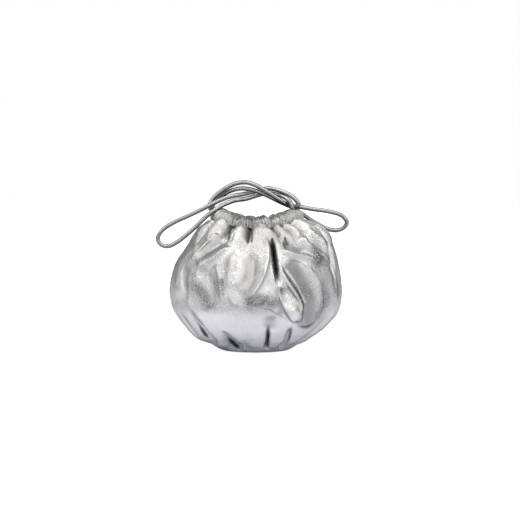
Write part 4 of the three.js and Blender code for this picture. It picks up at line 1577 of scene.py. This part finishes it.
@dataclass
class Drawstring:
    """A rolled leather cord: a round tube with a seam that winds slowly round it."""

    name: str
    route: tuple[Point, ...]
    node: str
    diameter: float = 5 * MM
    fullness: float = 1.06
    spacing: float = 1.3 * MM
    sides: int = 22
    seam_turn: float = 5.0
    seam_start: float = 2.0
    seam_width: float = 0.3
    seam_depth: float = 0.11
    unevenness: float = 0.05
    uneven_cell: float = 4 * MM
    uneven_reach: float = 3 * MM
    fine_points: int = 1200
    # Where the painted shade of the underside begins and is full, by how much a point faces down
    underside: tuple[float, float] = (-0.25, 0.45)

    def line(self) -> np.ndarray:
        """Points of the centreline, evenly spaced: the centripetal curve through the route.

        The curve blends straight runs between the route's points in three rounds. Its knots are spaced by
        the square roots of the steps' lengths.

        Returns:
            Rows of three.
        """
        route = np.array(self.route)
        knots = np.concatenate([[0], np.cumsum(np.linalg.norm(np.diff(route, axis=0), axis=1) ** 0.5)])
        points = np.vstack([2 * route[0] - route[1], route, 2 * route[-1] - route[-2]])
        times = np.concatenate([[2 * knots[0] - knots[1]], knots, [2 * knots[-1] - knots[-2]]])
        fine = np.linspace(knots[0], knots[-1], self.fine_points)
        k = np.clip(np.searchsorted(times, fine, side="right") - 1, 1, len(points) - 3)
        near = [points[k + i] for i in (-1, 0, 1, 2)]
        t = [times[k + i][:, None] for i in (-1, 0, 1, 2)]
        u = fine[:, None]

        def blend(i: int, j: int, start: np.ndarray, end: np.ndarray) -> np.ndarray:
            """Goes straight from start at knot i to end at knot j."""
            return (t[j] - u) / (t[j] - t[i]) * start + (u - t[i]) / (t[j] - t[i]) * end

        a1, a2, a3 = (blend(i, i + 1, near[i], near[i + 1]) for i in range(3))
        curve = blend(1, 2, blend(0, 2, a1, a2), blend(1, 3, a2, a3))
        length = np.concatenate([[0], np.cumsum(np.linalg.norm(np.diff(curve, axis=0), axis=1))])
        even = np.linspace(0, length[-1], int(length[-1] / self.spacing) + 1)
        return np.stack([np.interp(even, length, curve[:, i]) for i in range(3)], axis=1)

    def build(self) -> bpy.types.Object:
        """Builds the tube with a frame that turns as little as it can along the line.

        The radius dips by a narrow notch at the seam and varies by a little noise.

        Returns:
            The piece, with a UV map whose U is the length in metres and V the share of the way round, and
            a mark under, for painted shade, that is 1 on the underside.
        """
        line = self.line()
        ahead = np.gradient(line, axis=0)
        ahead /= np.linalg.norm(ahead, axis=1, keepdims=True)
        side = least_turning(ahead)
        other = np.cross(ahead, side)
        around = np.linspace(0, 2 * np.pi, self.sides, endpoint=False)
        seam = np.linspace(0, 1, len(line))[:, None] * self.seam_turn + self.seam_start
        gap = np.abs((around[None, :] - seam + np.pi) % (2 * np.pi) - np.pi)
        notch = self.seam_depth * np.exp(-((gap / self.seam_width) ** 2))
        toward_side = np.cos(around)[None, :, None] * side[:, None, :]
        place = line[:, None, :] + self.uneven_reach * toward_side
        noise = gradient_noise(place.reshape(-1, 3) / self.uneven_cell, seed=31).reshape(gap.shape)
        radius = self.fullness * self.diameter / 2 * (1 - notch) * (1 + self.unevenness * noise)
        outward = toward_side + np.sin(around)[None, :, None] * other[:, None, :]
        rings = line[:, None, :] + radius[:, :, None] * outward
        piece = ring_mesh(self.name, rings, close_rows=False, caps=True)
        # Painted shade on the cord's underside, where it faces down
        add_mark(piece, "under", smoothstep(-outward[:, :, 2], *self.underside))
        self.lay_uv(piece, len(line))
        log.info("%s: %.3f m, %d faces", self.name, self.length(), len(piece.data.polygons))
        return piece

    def lay_uv(self, piece: bpy.types.Object, rows: int) -> None:
        """Gives each quad's corners their length along the cord and share of the way round.

        Args:
            piece: the tube.
            rows: how many rings it has.
        """
        layer = piece.data.uv_layers.new(name="cord")
        i = np.arange(rows - 1)[:, None, None]
        j = np.arange(self.sides)[None, :, None]
        u = (i + np.array([0, 0, 1, 1]) + 0 * j) * self.spacing
        v = (j + np.array([0, 1, 1, 0]) + 0 * i) / self.sides
        flat = np.stack([u, v], axis=-1).reshape(-1, 2)
        values = np.zeros((len(piece.data.loops), 2), dtype=np.float32)
        values[: len(flat)] = flat
        layer.data.foreach_set("uv", values.ravel())

    def length(self) -> float:
        """The centreline's length in metres."""
        return float(np.linalg.norm(np.diff(self.line(), axis=0), axis=1).sum())

    def declare(self, piece: bpy.types.Object) -> None:
        """Works out the length and the centreline of the cord, which goes back into the bag, and uses
        neither.

        Args:
            piece: the tube, not used.
        """
        round(self.length(), 3)
        self.line().tolist()


def least_turning(ahead: np.ndarray) -> np.ndarray:
    """Side directions along a line that turn about it as little as they can.

    Each direction is the one before it with its part along the new direction taken out.

    Args:
        ahead: unit directions along the line, rows of three.

    Returns:
        Unit side directions, rows of three.
    """
    side = np.zeros_like(ahead)
    current = np.cross(ahead[0], (0.0, 1.0, 0.0))
    for index, direction in enumerate(ahead):
        current = current - direction * (current @ direction)
        current /= np.linalg.norm(current)
        side[index] = current
    return side


@dataclass(frozen=True)
class Softbox:
    """A rectangular light: where it stands, its width and height in metres, watts and colour."""

    name: str
    place: Point
    size: tuple[float, float]
    power: float
    colour: Colour

    def build(self, target: Point) -> None:
        """Makes the light.

        Args:
            target: what it faces.
        """
        data = bpy.data.lights.new(self.name, "AREA")
        data.shape = "RECTANGLE"
        data.size, data.size_y = self.size
        data.energy = self.power
        data.color = self.colour
        light = bpy.data.objects.new(self.name, data)
        bpy.context.scene.collection.objects.link(light)
        aim_at(light, self.place, target)


@dataclass
class Studio:
    """A pale floor, soft lights, a pale surround and the camera at the photograph's angle."""

    floor_rings: tuple[float, ...] = (6.0, 2.0, 0.5, 0.1, 0.001)
    floor_sides: int = 96
    floor_drop: float = 0.2 * MM
    floor_roughness: float = 0.9
    floor_colour: Colour = (0.7, 0.71, 0.76)
    floor_glow: float = 0.36
    # The dim glow near the bag and its bluish colour are a painted shadow in what the foil mirrors of the
    # floor
    floor_near_glow: float = 0.06
    floor_seen_glow: float = 0.78
    floor_light: Colour = (0.94, 0.95, 1.0)
    floor_shade: Colour = (0.4, 0.45, 0.8)
    floor_seen: Colour = (0.98, 0.98, 1.0)
    floor_dark_radius: float = 0.11
    floor_light_radius: float = 0.3
    surround: tuple[tuple[float, Colour], ...] = (
        (0.0, (0.18, 0.18, 0.19)),
        (0.13, (0.16, 0.16, 0.165)),
        (0.25, (1.05, 1.05, 1.03)),
        (0.42, (1.95, 1.92, 1.84)),
        (1.0, (1.8, 1.77, 1.69)),
    )
    behind: float = 0.3
    behind_range: tuple[float, float] = (-0.3, 0.6)
    panel_scale: float = 1.7
    panel_range: tuple[float, float] = (0.42, 0.56)
    panel_dark: float = 0.45
    panel_bright: float = 1.1
    lights: tuple[Softbox, ...] = (
        Softbox("top_softbox", (0.1, -0.5, 1.7), (1.2, 0.9), 6.5, (1.0, 0.97, 0.92)),
        Softbox("left_softbox", (-1.5, -1.0, 0.9), (0.5, 1.0), 3.4, (1.0, 0.98, 0.95)),
        Softbox("right_softbox", (1.5, -0.7, 0.8), (0.35, 0.9), 2.2, (0.97, 0.98, 1.0)),
    )
    lit_point: Point = (0.0, 0.0, 0.1)

    def build(self) -> None:
        """Makes the whole studio, the camera first."""
        self.camera()
        self.floor()
        self.world()
        for light in self.lights:
            light.build(self.lit_point)
        view = bpy.context.scene.view_settings
        view.view_transform = "Standard"
        view.look = "None"
        log.info("studio ready")

    def floor(self) -> None:
        """A wide pale disc under the bag.

        What the foil mirrors of it glows, with a painted bluish shadow that leaves it dim near the bag,
        and brighter further out. The camera itself sees it near white.
        """
        angle = np.linspace(0, 2 * np.pi, self.floor_sides, endpoint=False)
        radii = np.array(self.floor_rings)[:, None]
        x, y = radii * np.cos(angle), radii * np.sin(angle)
        rings = np.stack([x, y, np.full_like(x, -self.floor_drop)], axis=-1)
        piece = ring_mesh("studio_floor", rings, close_rows=False)
        made, board, shader = new_material("pale_floor")
        place = board.add("TexCoord").outputs["Object"]
        from_bag = board.add("VectorMath", {0: place}, operation="LENGTH").outputs["Value"]
        edges = (self.floor_dark_radius, self.floor_light_radius)
        glow = board.spread(from_bag, *edges, self.floor_near_glow, self.floor_glow)
        shade = board.mix(board.spread(from_bag, *edges, 0.0, 1.0), self.floor_shade, self.floor_light)
        seen = board.add("LightPath").outputs["Is Camera Ray"]
        feeds = {
            "Base Color": self.floor_colour,
            "Roughness": self.floor_roughness,
            "Emission Strength": board.spread(seen, 0.0, 1.0, glow, self.floor_seen_glow, "LINEAR"),
            "Emission Color": board.mix(seen, shade, self.floor_seen),
        }
        board.feed(shader, feeds)
        piece.data.materials.append(made)

    def world(self) -> None:
        """The surround that the foil mirrors.

        Its light goes by height: a dark band at the horizon, then brighter up to warm white overhead. It is
        dimmer behind the bag, and a slow noise breaks it into soft panels. The camera itself sees white.
        """
        world = bpy.data.worlds.new("studio_surround")
        bpy.context.scene.world = world
        world.use_nodes = True
        board = NodeBoard(world.node_tree)
        way = board.add("TexCoord").outputs["Generated"]
        parts = board.add("SeparateXYZ", {0: way}).outputs
        upward = board.ramp(parts["Z"], self.surround)
        far_side = board.spread(parts["Y"], *self.behind_range, 1.0, self.behind)
        panels = board.noise(way, self.panel_scale, detail=1.0)
        contrast = board.spread(panels, *self.panel_range, self.panel_dark, self.panel_bright)
        feeds = {0: upward, "Scale": board.math("MULTIPLY", far_side, contrast)}
        shaded = board.add("VectorMath", feeds, operation="SCALE").outputs[0]
        seen = board.add("LightPath").outputs["Is Camera Ray"]
        colour = board.mix(seen, shaded, (1.0, 1.0, 1.0))
        board.feed(world.node_tree.nodes["Background"], {"Color": colour, "Strength": 1.0})

    def camera(self) -> None:
        """The camera, so that the photograph's pixels fall where photo_places says."""
        data = bpy.data.cameras.new("portrait_camera")
        data.sensor_width = SENSOR
        data.lens = SENSOR * CAMERA_DISTANCE / (PHOTO_SIZE * PIXEL)
        camera = bpy.data.objects.new("portrait_camera", data)
        bpy.context.scene.collection.objects.link(camera)
        middle = PHOTO_SIZE / 2
        cosine, sine = math.cos(CAMERA_ELEVATION), math.sin(CAMERA_ELEVATION)
        target = np.array([(middle - PHOTO_MIDDLE_X) * PIXEL, 0.0, 0.0])
        target = target + (PHOTO_FLOOR_Y - middle) * PIXEL * np.array([0.0, sine, cosine])
        place = target + CAMERA_DISTANCE * np.array([0.0, -cosine, sine])
        aim_at(camera, tuple(place), tuple(target))
        bpy.context.scene.camera = camera


def aim_at(thing: bpy.types.Object, place: Point, target: Point) -> None:
    """Puts a light or camera in its place, looking at a point.

    Args:
        thing: the object to place.
        place: where it goes.
        target: what it looks at.
    """
    thing.location = place
    thing.rotation_mode = "QUATERNION"
    thing.rotation_quaternion = (Vector(target) - Vector(place)).to_track_quat("-Z", "Y")


def finish_piece(
    piece: bpy.types.Object, materials: list[bpy.types.Material], node: str
) -> None:
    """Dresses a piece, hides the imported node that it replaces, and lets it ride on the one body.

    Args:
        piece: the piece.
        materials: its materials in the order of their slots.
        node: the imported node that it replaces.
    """
    for material in materials:
        piece.data.materials.append(material)
    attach(piece, "root")
    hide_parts(node)


SILVER = SilverLeather(
    "silver_foil_leather",
    light=(0.9, 0.895, 0.88),
    dark=(0.78, 0.78, 0.785),
    crack=(0.2, 0.2, 0.22),
    cell=1.8 * MM,
    smooth_roughness=0.24,
    worn_roughness=0.34,
    bump=0.45 * MM,
)

HEM = SilverLeather(
    "gathered_silver_leather",
    light=(0.66, 0.66, 0.64),
    dark=(0.3, 0.3, 0.31),
    crack=(0.1, 0.1, 0.11),
    cell=1.6 * MM,
    smooth_roughness=0.26,
    worn_roughness=0.4,
    bump=0.32 * MM,
)

CORDS = (
    Drawstring("drawstring_right_loop", LEFT_CORD_ROUTE, "drawstring_left"),
    Drawstring("drawstring_left_loop", RIGHT_CORD_ROUTE, "drawstring_right"),
)

HIDDEN_CORDS = ("drawstring_left_in_casing", "drawstring_right_in_casing")


def main() -> None:
    """Builds the studio with its camera, then the cords, the body, the casing and the base."""
    Studio().build()
    grain = leather_grain_group()
    silver, hem, cord_leather = SILVER.material(grain), HEM.material(grain), CordLeather().material()
    for cord in CORDS:
        piece = cord.build()
        finish_piece(piece, [cord_leather], cord.node)
        cord.declare(piece)
    for node in HIDDEN_CORDS:
        hidden = frame["nodes"][node]
        hidden.data.materials.clear()
        hidden.data.materials.append(hem)
    base_size = node_extent("base")
    form = BagForm(
        body_width=BODY_WIDTH,
        body_depth=BODY_DEPTH,
        body_height=node_extent("body")[2],
        base_width=base_size[0],
        base_depth=base_size[1],
    )
    finish_piece(BodyShell(form).build(), [silver, Suede().material()], "body")
    casing = Casing(form, middle=form.body_height + CASING_RISE)
    finish_piece(casing.build(), [hem], "casing")
    finish_piece(BasePanel(*base_size).build(), [silver], "base")


if __name__ == "__main__":
    main()
